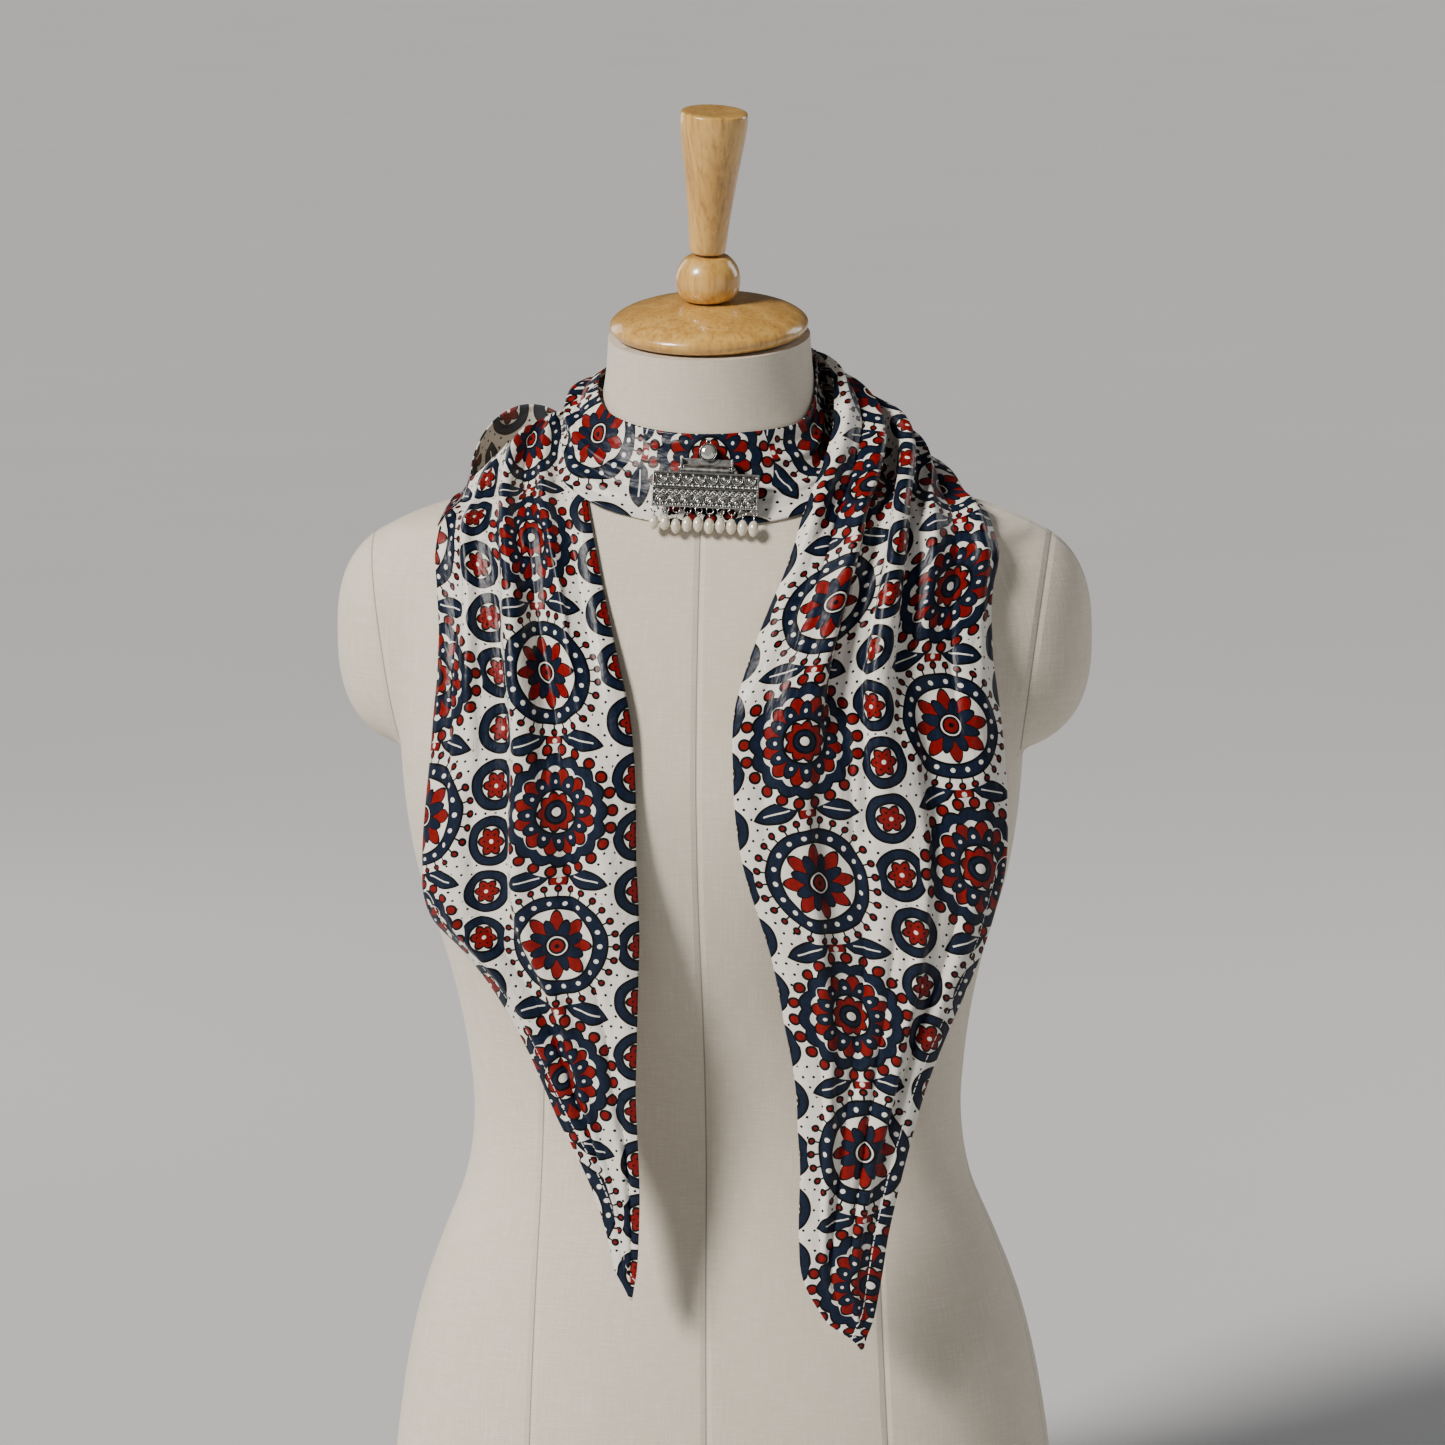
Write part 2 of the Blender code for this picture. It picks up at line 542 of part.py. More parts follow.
def ribbon(
    rows, folds, side, form, layers, size, crowding=STATION_CROWDING, curl_from=-1, start=None, end=None
):
    """Grid of points of a hanging stretch: from its rows, settled on the form, with its folds.

    The start and the end are the edges that the stretch goes on from, as points and outward normals.
    """
    data = table(TAIL_COLUMNS, rows)
    inner = np.stack([data["in_x"], data["in_y"], data["in_z"]], axis=1) * MM
    outer = np.stack([data["out_x"], data["out_y"], data["out_z"]], axis=1) * MM
    middle = (inner + outer) / 2
    knots = np.concatenate([[0], np.cumsum(np.linalg.norm(np.diff(middle, axis=0), axis=1))])
    knots = knots / knots[-1]
    stations = np.linspace(0, 1, size[0]) ** crowding
    places = np.linspace(0, 1, size[1])
    inner = spline(knots, inner, stations)
    outer = spline(knots, outer, stations)
    bulge = spline(knots, data["bulge"] * MM, stations)
    hug_in = spline(knots, data["hug_in"], stations)
    hug_out = spline(knots, data["hug_out"], stations)
    points = inner[:, None] + (outer - inner)[:, None] * places[None, :, None]
    out = grid_normals(points, side)
    crown = 4 * places * (1 - places)
    points = points + out * (bulge[:, None] * crown[None, :])[..., None]
    hug = np.clip(hug_in[:, None] * (1 - places) ** 2 + hug_out[:, None] * places**2, 0, 1)
    for index in np.ndindex(points.shape[:2]):
        foot, normal, height = form.foot(points[index])
        seated = max(CLOTH_GAP, (1 - hug[index]) * height + hug[index] * CLOTH_GAP)
        points[index] = foot + normal * seated
    points = blurred(points, 1) * 0.5 + points * 0.5
    out = grid_normals(points, side)
    offset = folds_of(folds, stations, places)
    curled = np.clip((stations - curl_from) / 0.1, 0, 1)[:, None]
    edges = edge_curl(places)[None, :] * (curl_from < 1) + edge_curl(1 - places)[None, :] * curled
    offset = offset - EDGE_CURL * edges
    share = np.clip(np.linalg.norm(outer - inner, axis=1) / FOLD_FULL_WIDTH, 0, 1) ** 2
    points = points + out * (offset * share[:, None])[..., None]
    if start is not None:
        join_edge(points, start, places)
    if end is not None:
        join_edge(points[::-1], end, places)
    return lift_clear(points, form, layers)


def band_grid(rows, creases, form, layers, size):
    """Grid of points of a stretch that lies round the neck, upper edge first."""
    data = table(BAND_COLUMNS, rows)
    order = np.argsort(data["angle"])
    angles = np.linspace(data["angle"].min(), data["angle"].max(), size[0])
    top, height, lift_top, lift_mid, lift_low = (
        spline(data["angle"][order], data[name][order] * MM, angles) for name in BAND_COLUMNS[1:]
    )
    places = np.linspace(0, 1, size[1])
    points = np.empty((size[0], size[1], 3))
    for row, angle in enumerate(angles):
        levels = np.linspace(NECK_TOP, NECK_TOP - BAND_REACH, FINE_LEVELS)
        meridian = form_points(math.radians(angle), levels)
        length = np.concatenate([[0], np.cumsum(np.linalg.norm(np.diff(meridian, axis=0), axis=1))])
        start = np.interp(-top[row], -meridian[:, 2], length)
        wanted = start + places * height[row]
        points[row] = np.stack([np.interp(wanted, length, meridian[:, axis]) for axis in range(3)], axis=1)
    out = grid_normals(points, -1)
    lifts = np.stack([lift_top, lift_mid, lift_low], axis=0)
    offset = spline((0, BAND_MIDDLE, 1), lifts, places).T
    for crease in creases:
        share = np.clip((angles - crease["from"]) / (crease["to"] - crease["from"]), 0, 1)
        depth = crease["deep"] * MM * np.sin(share * math.pi) ** 0.6
        offset += depth[:, None] * fold_profile((places - crease["at"]) / crease["wide"])[None, :]
    offset = np.maximum(offset, CLOTH_GAP)
    return lift_clear(points + out * offset[..., None], form, layers)


def with_margin(points):
    """The grid with one more row or column beyond each of its edges."""
    for _ in range(2):
        ends = []
        for edge, inside in ((points[:1], points[1:2]), (points[-1:], points[-2:-1])):
            step = edge - inside
            ends.append(edge + step / np.linalg.norm(step, axis=2, keepdims=True) * LAYER_MARGIN)
        points = np.concatenate([ends[0], points, ends[1]]).transpose(1, 0, 2)
    return points


class Stretch:
    """A stretch of the scarf: its grid of inner points, its outward normals, and its outer surface."""

    def __init__(self, name, points, outward, wall, collection):
        rows, columns = points.shape[:2]
        faces = grid_faces(rows, columns)
        if outward > 0:
            faces = [face[::-1] for face in faces]
        obj = add_mesh(name, points.reshape(-1, 3), faces, "scarf", collection)
        solid = obj.modifiers.new("wall", "SOLIDIFY")
        solid.thickness = wall
        solid.offset = 1
        self.points = points
        self.normals = grid_normals(points, outward)
        outer = with_margin(points + self.normals * wall)
        self.surface = Surface(outer.reshape(-1, 3), grid_faces(rows + 2, columns + 2))

    def edge(self, *place):
        """An edge's points and outward normals, for the stretch that goes on from it."""
        return self.points[place], self.normals[place]


def build_scarf(collection, body):
    form = form_surface()
    faces = [face.vertices for face in body.data.polygons]
    solid = Surface([vertex.co for vertex in body.data.vertices], faces)
    under_points = band_grid(UNDER_ROWS, NAPE_CREASES, form, [solid], (20, 6))
    under = Stretch("scarf_nape_under", under_points, -1, WALL, collection)
    left_points = ribbon(LEFT_TAIL_ROWS, LEFT_FOLDS, -1, form, [solid], (33, 15), curl_from=0.16)
    left = Stretch("scarf_tail_left", left_points, -1, WALL, collection)
    loop_points = ribbon(
        LOOP_ROWS, LOOP_FOLDS, 1, form, [solid], (16, 7), crowding=1, curl_from=2,
        start=under.edge(-1, slice(None, None, -1)),
        end=left.edge(slice(LOOP_MEETS_STATION, None, -1), -1),
    )
    loop = Stretch("scarf_shoulder_loop", loop_points, 1, WALL, collection)
    lower = [solid, left.surface, loop.surface, under.surface]
    band_points = band_grid(BAND_ROWS, BAND_CREASES, form, lower, (42, 9))
    band = Stretch("scarf_front_band", band_points, -1, BAND_WALL, collection)
    lower = [solid, under.surface, loop.surface]
    over_points = band_grid(OVER_ROWS, NAPE_CREASES, form, lower, (22, 6))
    over = Stretch("scarf_nape_over", over_points, -1, WALL, collection)
    lower = [solid, band.surface, under.surface]
    right_points = ribbon(RIGHT_TAIL_ROWS, RIGHT_FOLDS, 1, form, lower, (37, 18), start=over.edge(0))
    Stretch("scarf_tail_right", right_points, 1, WALL, collection)


def brooch_frame():
    return Matrix.Translation(HINGE) @ Matrix.Rotation(TURN, 4, "Y") @ Matrix.Rotation(-LEAN, 4, "X")


def placed(name, mesh, frame, finish, collection):
    """An object of a mesh at a frame. In the hidden collection it only cuts or joins another."""
    mesh.materials.append(material(finish))
    obj = bpy.data.objects.new(name, mesh)
    obj.matrix_world = frame
    collection.objects.link(obj)
    if collection.hide_render:
        obj.hide_render = True
        obj.display_type = "WIRE"
    return obj


def box(name, size, centre, frame, collection, finish="silver"):
    shape = bmesh.new()
    scale = Matrix.Diagonal((*(Vector(size) * MM), 1))
    bmesh.ops.create_cube(shape, size=1, matrix=Matrix.Translation(Vector(centre) * MM) @ scale)
    mesh = bpy.data.meshes.new(name)
    shape.to_mesh(mesh)
    shape.free()
    return placed(name, mesh, frame, finish, collection)


def rod(name, radius, length, centre, frame, collection, sides=12, finish="silver"):
    """A round rod along X."""
    shape = bmesh.new()
    along = Matrix.Translation(Vector(centre) * MM) @ Matrix.Rotation(math.radians(90), 4, "Y")
    radius = radius * MM
    bmesh.ops.create_cone(
        shape, cap_ends=True, segments=sides, radius1=radius, radius2=radius, depth=length * MM, matrix=along
    )
    mesh = bpy.data.meshes.new(name)
    shape.to_mesh(mesh)
    shape.free()
    return placed(name, mesh, frame, finish, collection)


def ball(name, radii, centre, frame, collection, sides=8, rings=6, finish="silver"):
    shape = bmesh.new()
    shaped = Matrix.Translation(Vector(centre) * MM) @ Matrix.Diagonal((*(Vector(radii) * MM), 1))
    bmesh.ops.create_uvsphere(shape, u_segments=sides, v_segments=rings, radius=1, matrix=shaped)
    for face in shape.faces:
        face.smooth = True
    mesh = bpy.data.meshes.new(name)
    shape.to_mesh(mesh)
    shape.free()
    return placed(name, mesh, frame, finish, collection)


def ring(name, radius, wire, centre, frame, collection, sides=10):
    """A wire ring that faces along Y."""
    bpy.ops.mesh.primitive_torus_add(
        major_radius=radius * MM, minor_radius=wire * MM, major_segments=sides, minor_segments=4
    )
    obj = bpy.context.object
    obj.name = name
    obj.data.transform(Matrix.Translation(Vector(centre) * MM) @ Matrix.Rotation(math.radians(90), 4, "X"))
    mesh = obj.data
    bpy.data.objects.remove(obj)
    return placed(name, mesh, frame, "silver", collection)


def combine(body, operation, others):
    for other in others:
        boolean = body.modifiers.new(other.name, "BOOLEAN")
        boolean.operation = operation
        boolean.solver = "EXACT"
        boolean.object = other


def plate_edges():
    """Levels of the plate's upper and lower edge in the brooch's frame, in mm."""
    return -PLATE["below"], -PLATE["below"] - PLATE["tall"]


def swing_level():
    """Level of the axis that the pearls swing on: the middle of the wire at an eyelet's lowest point."""
    return plate_edges()[1] - EYELET["below"] - EYELET["ring"]


def pearl_places():
    count = len(PEARL_ROWS)
    return [(index - (count - 1) / 2) * EYELET["pitch"] for index in range(count)]


def build_plate(frame, collection, hidden):
    upper, lower = plate_edges()
    face = -PLATE["thick"] / 2
    middle = (upper + lower) / 2
    plate = box(
        "brooch_plate",
        (PLATE["wide"], PLATE["thick"] + PLATE["rim_rise"], PLATE["tall"]),
        (0, -PLATE["rim_rise"] / 2, middle),
        frame,
        collection,
    )
    field = (PLATE["wide"] - 2 * PLATE["rim"], 2 * PLATE["rim_rise"], PLATE["tall"] - 2 * PLATE["rim"])
    pocket = box("plate_field", field, (0, face - PLATE["rim_rise"], middle), frame, hidden)
    combine(plate, "DIFFERENCE", [pocket])
    added = []
    for row, level in enumerate((upper - BOSS["from_edge"], lower + BOSS["from_edge"])):
        for index in range(BOSS["in_a_row"]):
            x = (index - (BOSS["in_a_row"] - 1) / 2) * BOSS["pitch"]
            radii = (BOSS["radius"], BOSS["rise"] + BOSS["sunk"], BOSS["radius"])
            centre = (x, face + BOSS["sunk"], level)
            added.append(ball(f"boss_{row}_{index}", radii, centre, frame, hidden))
    for index, x in enumerate(pearl_places()):
        centre = (x, 0, lower - EYELET["below"])
        added.append(ring(f"eyelet_{index}", EYELET["ring"], EYELET["wire"], centre, frame, hidden))
    web = (WEB["long"], WEB["thick"], WEB["tall"])
    added.append(box("tube_web", web, (0, WEB["y"], WEB["z"]), frame, hidden))
    added.append(rod("tube", TUBE["radius"], TUBE["long"], (0, 0, 0), frame, hidden))
    combine(plate, "UNION", added)
    bore = rod("tube_bore", TUBE["bore"], PLATE["wide"], (0, 0, 0), frame, hidden, sides=10)
    combine(plate, "DIFFERENCE", [bore])
    return plate


def build_bracket(frame, collection, hidden):
    bar_y = BAR["back"] - BAR["thick"] / 2
    bar = box(
        "brooch_bracket",
        (BAR["long"], BAR["thick"], BAR["tall"]),
        (0, bar_y, BAR["above"] + BAR["tall"] / 2),
        frame,
        collection,
    )
    lug_x = TUBE["long"] / 2 + LUG["gap"] + LUG["thick"] / 2
    added = []
    for side in (-1, 1):
        deep = BAR["back"] - JOINED + LUG["front"]
        centre = (side * lug_x, deep / 2 - LUG["front"], LUG["tall"] / 2)
        added.append(box(f"lug_{side}", (LUG["thick"], deep, LUG["tall"]), centre, frame, hidden))
        knuckle_long = LUG["thick"] - JOINED
        added.append(rod(f"knuckle_{side}", LUG["radius"], knuckle_long, (side * lug_x, 0, 0), frame, hidden))
        end_x = side * (lug_x + LUG["thick"] / 2 + PIN_END["beyond"])
        added.append(ball(f"pin_end_{side}", [PIN_END["radius"]] * 3, (end_x, 0, 0), frame, hidden, sides=8))
    pin_long = 2 * lug_x + LUG["thick"] + PIN_END["beyond"]
    added.append(rod("pin", TUBE["pin"], pin_long, (0, 0, 0), frame, hidden, sides=8))
    profile = (
        (0, -BEZEL["floor"]),
        (BEZEL["bore"], -BEZEL["floor"]),
        (BEZEL["bore"], -BEZEL["rim"]),
        (BEZEL["radius"] - BEZEL["round"], -BEZEL["rim"]),
        (BEZEL["radius"], -BEZEL["rim"] - BEZEL["round"]),
        (BEZEL["radius"], -BEZEL["back"]),
        (0, -BEZEL["back"]),
    )
    centre = Matrix.Translation((BEZEL["x"] * MM, 0, BEZEL["above"] * MM))
    facing = frame @ centre @ Matrix.Rotation(math.radians(90), 4, "X")
    added.append(turned("bezel", profile, "silver", hidden, facing, steps=20))
    centre = (BEZEL["x"], PRONG["y"], BEZEL["above"] + BEZEL["radius"] + PRONG["above"])
    added.append(ring("prong", PRONG["ring"], PRONG["wire"], centre, frame, hidden))
    combine(bar, "UNION", added)
    stone = (
        (0, -STONE["front"]),
        (STONE["table"], -STONE["front"]),
        (STONE["radius"], -STONE["girdle"]),
        (STONE["radius"], -STONE["back"]),
        (0, -STONE["back"]),
    )
    turned("brooch_stone", stone, "crystal", collection, facing, steps=10)


def build_pearls(frame, plate, collection):
    """Each pearl hangs by the eye of its wire, which swings on the eyelet's lowest point."""
    data = [dict(zip(PEARL_COLUMNS, row)) for row in PEARL_ROWS]
    for index, (x, pearl) in enumerate(zip(pearl_places(), data)):
        axis = frame @ Matrix.Translation(Vector((x, 0, swing_level())) * MM)
        radii = (pearl["width"] / 2, pearl["width"] / 2, pearl["height"] / 2)
        number = f"{index + 1:02d}"
        centre = (0, 0, -pearl["drop"])
        bead = ball("pearl_" + number, radii, centre, axis, collection, sides=9, finish="pearl")
        hook = bpy.data.curves.new("pearl_wire_" + number, "CURVE")
        hook.dimensions = "3D"
        hook.bevel_depth = PEARL_EYE["wire"] * MM
        hook.bevel_resolution = 0
        hook.use_fill_caps = True
        hook.materials.append(material("silver"))
        radius = PEARL_EYE["ring"]
        angles = np.linspace(0, PEARL_EYE["turn"], PEARL_EYE["points"])
        eye = [(0, radius * math.sin(angle), -radius * math.cos(angle)) for angle in angles]
        foot = -pearl["drop"] + pearl["height"] / 2 + PEARL_STRING_GAP
        points = [(0, 0, foot)] * (foot < -radius - PEARL_EYE["wire"]) + eye
        line = hook.splines.new("POLY")
        line.points.add(len(points) - 1)
        for place, point in zip(line.points, points):
            place.co = (*(Vector(point) * MM), 1)
        wire = bpy.data.objects.new(hook.name, hook)
        collection.objects.link(wire)
        for piece in (bead, wire):
            piece.parent = plate
            piece.matrix_parent_inverse = frame.inverted()
            piece.matrix_basis = axis


def build_brooch(collection, hidden):
    frame = brooch_frame()
    plate = build_plate(frame, collection, hidden)
    build_bracket(frame, collection, hidden)
    build_pearls(frame, plate, collection)


def main():
    clear_scene()
    collection = new_collection("scarf_with_brooch")
    body = build_form(collection)
    build_finial(collection)
    build_scarf(collection, body)
    build_brooch(collection, new_collection("cutters", hidden=True))


main()
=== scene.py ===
"""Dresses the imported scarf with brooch: printed cloth, linen form, turned wood, silver and pearls.

Metres, +Z up. The cloth is worked out from the same rows as the solids and then made finer.
"""

import math

import bmesh
import bpy
import numpy as np
from mathutils import Matrix, Vector
from mathutils.bvhtree import BVHTree


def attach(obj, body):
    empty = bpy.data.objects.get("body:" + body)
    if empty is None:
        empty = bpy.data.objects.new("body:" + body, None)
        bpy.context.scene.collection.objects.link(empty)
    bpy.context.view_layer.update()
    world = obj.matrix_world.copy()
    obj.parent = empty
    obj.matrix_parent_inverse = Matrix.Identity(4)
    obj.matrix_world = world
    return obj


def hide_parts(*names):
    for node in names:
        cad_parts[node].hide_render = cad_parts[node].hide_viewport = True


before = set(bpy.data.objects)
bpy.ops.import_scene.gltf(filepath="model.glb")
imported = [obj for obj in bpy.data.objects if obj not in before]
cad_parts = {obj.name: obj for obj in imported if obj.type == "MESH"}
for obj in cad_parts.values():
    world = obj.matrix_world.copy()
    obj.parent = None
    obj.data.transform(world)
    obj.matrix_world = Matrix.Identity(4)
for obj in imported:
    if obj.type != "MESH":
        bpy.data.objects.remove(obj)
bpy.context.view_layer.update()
ROOT = "form_and_scarf"
MM = 0.001

# Points of one piece closer together than this, in mm, become one point
MERGED = 0.001

# Dress form: level, half width, front and back depth, the section's middle in mm, and squareness
FORM_ROWS = (
    (0, 176, 90, 110, 12, 2.3),
    (40, 180, 93, 116, 13, 2.3),
    (80, 182, 95, 119, 14, 2.3),
    (115, 178, 95, 117, 13, 2.3),
    (150, 172, 94, 112, 10, 2.3),
    (184, 163.5, 91, 105, 7, 2.3),
    (218, 151, 87, 96, 3, 2.25),
    (251, 138, 81, 87, 0, 2.2),
    (285, 133, 78, 80, 0, 2.2),
    (319, 135, 81, 77, -2, 2.2),
    (352, 140, 89, 77, -6, 2.2),
    (386, 148, 101, 80, -10, 2.25),
    (419, 158, 112, 84, -13, 2.3),
    (452, 164, 119, 89, -15, 2.3),
    (485, 167, 121, 93, -15, 2.3),
    (520, 168, 115, 96, -13, 2.3),
    (552, 169, 105, 95, -10, 2.3),
    (580, 171, 94, 90, -6, 2.25),
    (600, 174, 85, 82, -4, 2.2),
    (611, 169, 80, 76, -3, 2.15),
    (618, 152, 77, 72, -3, 2.1),
    (625, 127, 74, 68, -4, 2.1),
    (633, 101, 71.5, 64, -5, 2.0),
    (642, 81, 69, 60, -6, 2.0),
    (651, 70, 67, 56, -7, 2.0),
    (662, 63, 65, 52, -8, 2.0),
    (675, 58.5, 63.5, 48.5, -8.5, 2.0),
    (690, 55.5, 63, 45.5, -9, 2.0),
    (711, 53.8, 62.8, 44.8, -9, 2.0),
)
BUST = {"x": 72, "z": 472, "wide": 38, "tall": 46, "rise": 9}
ARM = {"x": 146, "z": 549, "reach": 57.5, "deep": 52, "tall": 62.5, "square": 2.6, "blend": 5}
NECK_LEAN = math.radians(9)
NECK_LEAN_FROM = 615 * MM
NECK_TOP = 711 * MM
NECK_MIDDLE_Y = -9 * MM
FORM_SIDES = 40
FORM_LEVELS = 41
FINE_SIDES = 128
FINE_LEVELS = 200
LEVEL_MARKS = (0, 0.20, 0.47, 0.487, 0.51, 0.585, 0.603, 0.62, 0.66, 0.711)
LEVEL_WEIGHTS = (3, 7, 2, 4, 6, 4, 5, 8, 6)
FINE_LEVEL_MARKS = ((0, 0.3, 1), (0, 0.45, 0.711))
TINY = 1e-6
SMALLEST = 1e-12

# Turned wood on the neck, as radius and height along its own axis, in mm, from the top down its outer side
DISC_PROFILE = (
    (0, 18.2), (15, 18.2), (24, 17.5), (36, 15.5), (47, 12), (52.5, 8), (53.3, 5), (51, 1.5), (46, 0), (0, 0)
)
BALL_PROFILE = (
    (0, 43.2), (10, 43.2), (13, 41), (16.4, 36), (17.5, 30), (17, 25), (14.5, 20.5), (11, 18.6), (0, 18.6)
)
HANDLE_PROFILE = (
    (0, 121), (17, 121), (18, 119.5), (18, 113.5), (16.9, 104.5), (14.2, 86.5), (11.6, 66.5), (9.8, 46.8),
    (9.2, 44.4), (0, 44.4)
)
HANDLE_LEAN = math.radians(4)
SEAT_GAP = 0.3 * MM

# Cloth: the solids' walls and gaps, how often they are lifted clear, and how a seam eases
WALL = 1.4 * MM
BAND_WALL = 2.2 * MM
CLOTH_GAP = 0.9 * MM
LAYER_GAP = 0.8 * MM
LAYER_REACH = 60 * MM
LAYER_MARGIN = 2.5 * MM
SEAM_GAP = 0.5 * MM
SEAM_EASE = (1, 0.6, 0.2)
LIFT_PASSES = 4

# Folded band round the neck: angle from the front, +X side positive; upper edge's level; height along the
# form; lift off the form at the upper edge, in the roll and at the lower edge. Degrees and mm.
BAND_MIDDLE = 0.4
BAND_REACH = 115 * MM
BAND_ROWS = (
    (-107, 691, 21, 3, 11, 10),
    (-92, 688, 26, 3, 15, 14),
    (-78, 681, 38, 3, 16, 10),
    (-62, 673, 47, 2, 11, 6),
    (-46, 669, 50, 1, 5, 4),
    (-28, 666, 49, 0.9, 1.4, 1.2),
    (-12, 664.5, 49, 0.9, 0.9, 0.9),
    (4, 664, 49, 0.9, 0.9, 0.9),
    (22, 664.5, 50, 0.9, 0.9, 0.9),
    (40, 665.5, 50, 0.9, 0.9, 0.9),
    (58, 668, 46, 0.9, 0.9, 0.9),
    (74, 677, 38, 0.9, 0.9, 0.9),
    (88, 689, 34, 0.9, 0.9, 0.9),
    (103, 698, 34, 0.9, 0.9, 0.9),
)
UNDER_ROWS = (
    (103.3, 698, 34, 0.9, 0.9, 0.9),
    (125, 700, 35, 0.9, 0.9, 0.9),
    (150, 696, 38, 0.9, 0.9, 0.9),
    (180, 688, 40, 0.9, 0.9, 0.9),
    (208, 679, 40, 0.9, 0.9, 0.9),
    (236, 670, 36, 0.9, 0.9, 0.9),
)
OVER_ROWS = (
    (-107.3, 691, 21, 3, 11, 10),
    (-130, 694, 28, 3.5, 7, 5),
    (-155, 698, 34, 3.5, 5, 4),
    (-180, 700, 38, 3.5, 4.4, 3.5),
    (-208, 702, 38, 3.3, 3.5, 3.3),
    (-233, 702, 37, 3.3, 3.3, 3.3),
)

# Folds and creases: from and to along the cloth, place across at each end, rise in mm, half width across
FOLD_ENDS = 0.6
CREASE_SOFT = 1.5
CREASE_SHARP = 1.6
BAND_CREASES = (
    (8, 70, 0.30, 0.30, -0.9, 0.16),
    (14, 90, 0.58, 0.58, -1.1, 0.15),
    (20, 95, 0.82, 0.82, -0.8, 0.14),
    (-104, -40, 0.45, 0.45, -1.4, 0.16),
    (-95, -52, 0.78, 0.78, -1.3, 0.16),
)
NAPE_CREASES = ((-240, 240, 0.30, 0.30, 1.0, 0.2), (-240, 240, 0.68, 0.68, 1.2, 0.2))
FOLD_FULL_WIDTH = 105 * MM
LEFT_FOLDS = (
    (0.00, 0.42, 0.30, 0.16, -4.5, 0.13),
    (0.00, 0.62, 0.50, 0.43, 3.5, 0.15),
    (0.06, 0.86, 0.68, 0.62, -3.0, 0.12),
    (0.16, 0.90, 0.82, 0.84, 2.5, 0.12),
    (0.45, 0.97, 0.25, 0.30, 2.2, 0.15),
)
RIGHT_FOLDS = (
    (0.04, 0.46, 0.36, 0.44, -8, 0.12),
    (0.03, 0.60, 0.18, 0.20, 4.0, 0.12),
    (0.08, 0.62, 0.54, 0.58, 6.0, 0.12),
    (0.08, 0.55, 0.70, 0.70, -5.0, 0.11),
    (0.16, 0.80, 0.86, 0.82, 3.5, 0.12),
    (0.38, 0.74, 0.30, 0.34, -3.5, 0.12),
    (0.55, 0.97, 0.55, 0.62, 3.2, 0.14),
    (0.60, 0.95, 0.80, 0.80, -2.2, 0.12),
)
LOOP_FOLDS = ((0.15, 0.85, 0.5, 0.5, 3.0, 0.4),)

# Tails and loop: one row a station from the neck to the tip. The edge nearer the middle of the body and the
# outer edge, each as x, y and z in mm, the bulge between them, and how closely each edge hugs the form.
LEFT_TAIL_ROWS = (
    (-66, 12, 669.5, -127, -21, 635, 13, 0.2, 0),
    (-69, -6, 664, -131, -28, 622, 12, 0.2, 0),
    (-69, -24, 655, -134, -36, 609, 10, 0.5, 0),
    (-64, -48, 642, -136, -48, 594, 9, 1, 0),
    (-57, -78, 617, -138, -60, 577, 8, 0.9, 0),
    (-51, -97, 592, -140, -72, 555, 8, 0.7, 0),
    (-43, -112, 560, -143, -82, 528, 8, 0.3, 0),
    (-34, -124, 523, -145, -89, 498, 7, 0.1, 0),
    (-31, -130, 484, -148, -94, 466, 7, 0, 0),
    (-31, -131, 446, -149, -98, 437, 6, 0, 0),
    (-30, -130, 412, -145, -101, 412, 5, 0, 0),
    (-31, -128, 385, -122, -104, 389, 4, 0, 0),
    (-32, -126, 350, -96, -108, 351, 3, 0, 0),
    (-33, -124, 320, -82, -110, 321, 3, 0, 0),
    (-32, -122, 289, -67, -112, 290, 2, 0, 0),
    (-32, -121, 258, -53.5, -113, 258, 1, 0, 0),
    (-33, -120, 232, -47, -115, 233, 0.5, 0, 0),
    (-36, -119, 209, -43, -117, 209, 0, 0, 0),
)
RIGHT_TAIL_ROWS = (
    (48, 28, 703, 55, 32, 667, 0, 1, 1),
    (56, 18, 702, 63, 24, 665, 1, 0.8, 0.8),
    (62, 6, 698, 76, 30, 655, 5, 0.2, 0.3),
    (66, -8, 689, 93, 36, 643, 9, 0, 0),
    (68, -23, 675, 110, 32, 637, 12, 0, 0),
    (67, -39, 661, 124, 20, 634, 12, 0, 0),
    (62, -56, 645, 133, 4, 628, 12, 0.2, 0),
    (54, -74, 625, 139, -14, 617, 11, 0.6, 0),
    (47, -92, 603, 144, -36, 600, 11, 0.8, 0),
    (37, -107, 580, 148, -50, 580, 10, 0.6, 0),
    (29, -117, 558, 151, -59, 562, 10, 0.3, 0),
    (21, -127, 530, 154, -67, 547, 9, 0, 0),
    (20, -131, 500, 159, -78, 516, 9, 0, 0),
    (21, -132, 472, 162, -87, 482, 8, 0, 0),
    (25, -132, 444, 163, -93, 450, 7, 0, 0),
    (33, -130, 417, 157, -98, 420, 6, 0, 0),
    (40, -128, 393, 149, -101, 394, 5, 0, 0),
    (45, -126, 363, 136, -104, 365, 5, 0, 0),
    (51, -125, 330, 121, -107, 331, 4, 0, 0),
    (52, -123, 300, 112.5, -109, 301, 4, 0, 0),
    (52.5, -122, 272, 105, -110, 273, 3, 0, 0),
    (52, -121, 243, 98.5, -111, 244, 3, 0, 0),
    (56, -120, 215, 94, -112, 216, 2, 0, 0),
    (69, -119, 196, 90, -113, 197, 1, 0, 0),
    (79, -118, 183, 87, -116, 183, 0, 0, 0),
)
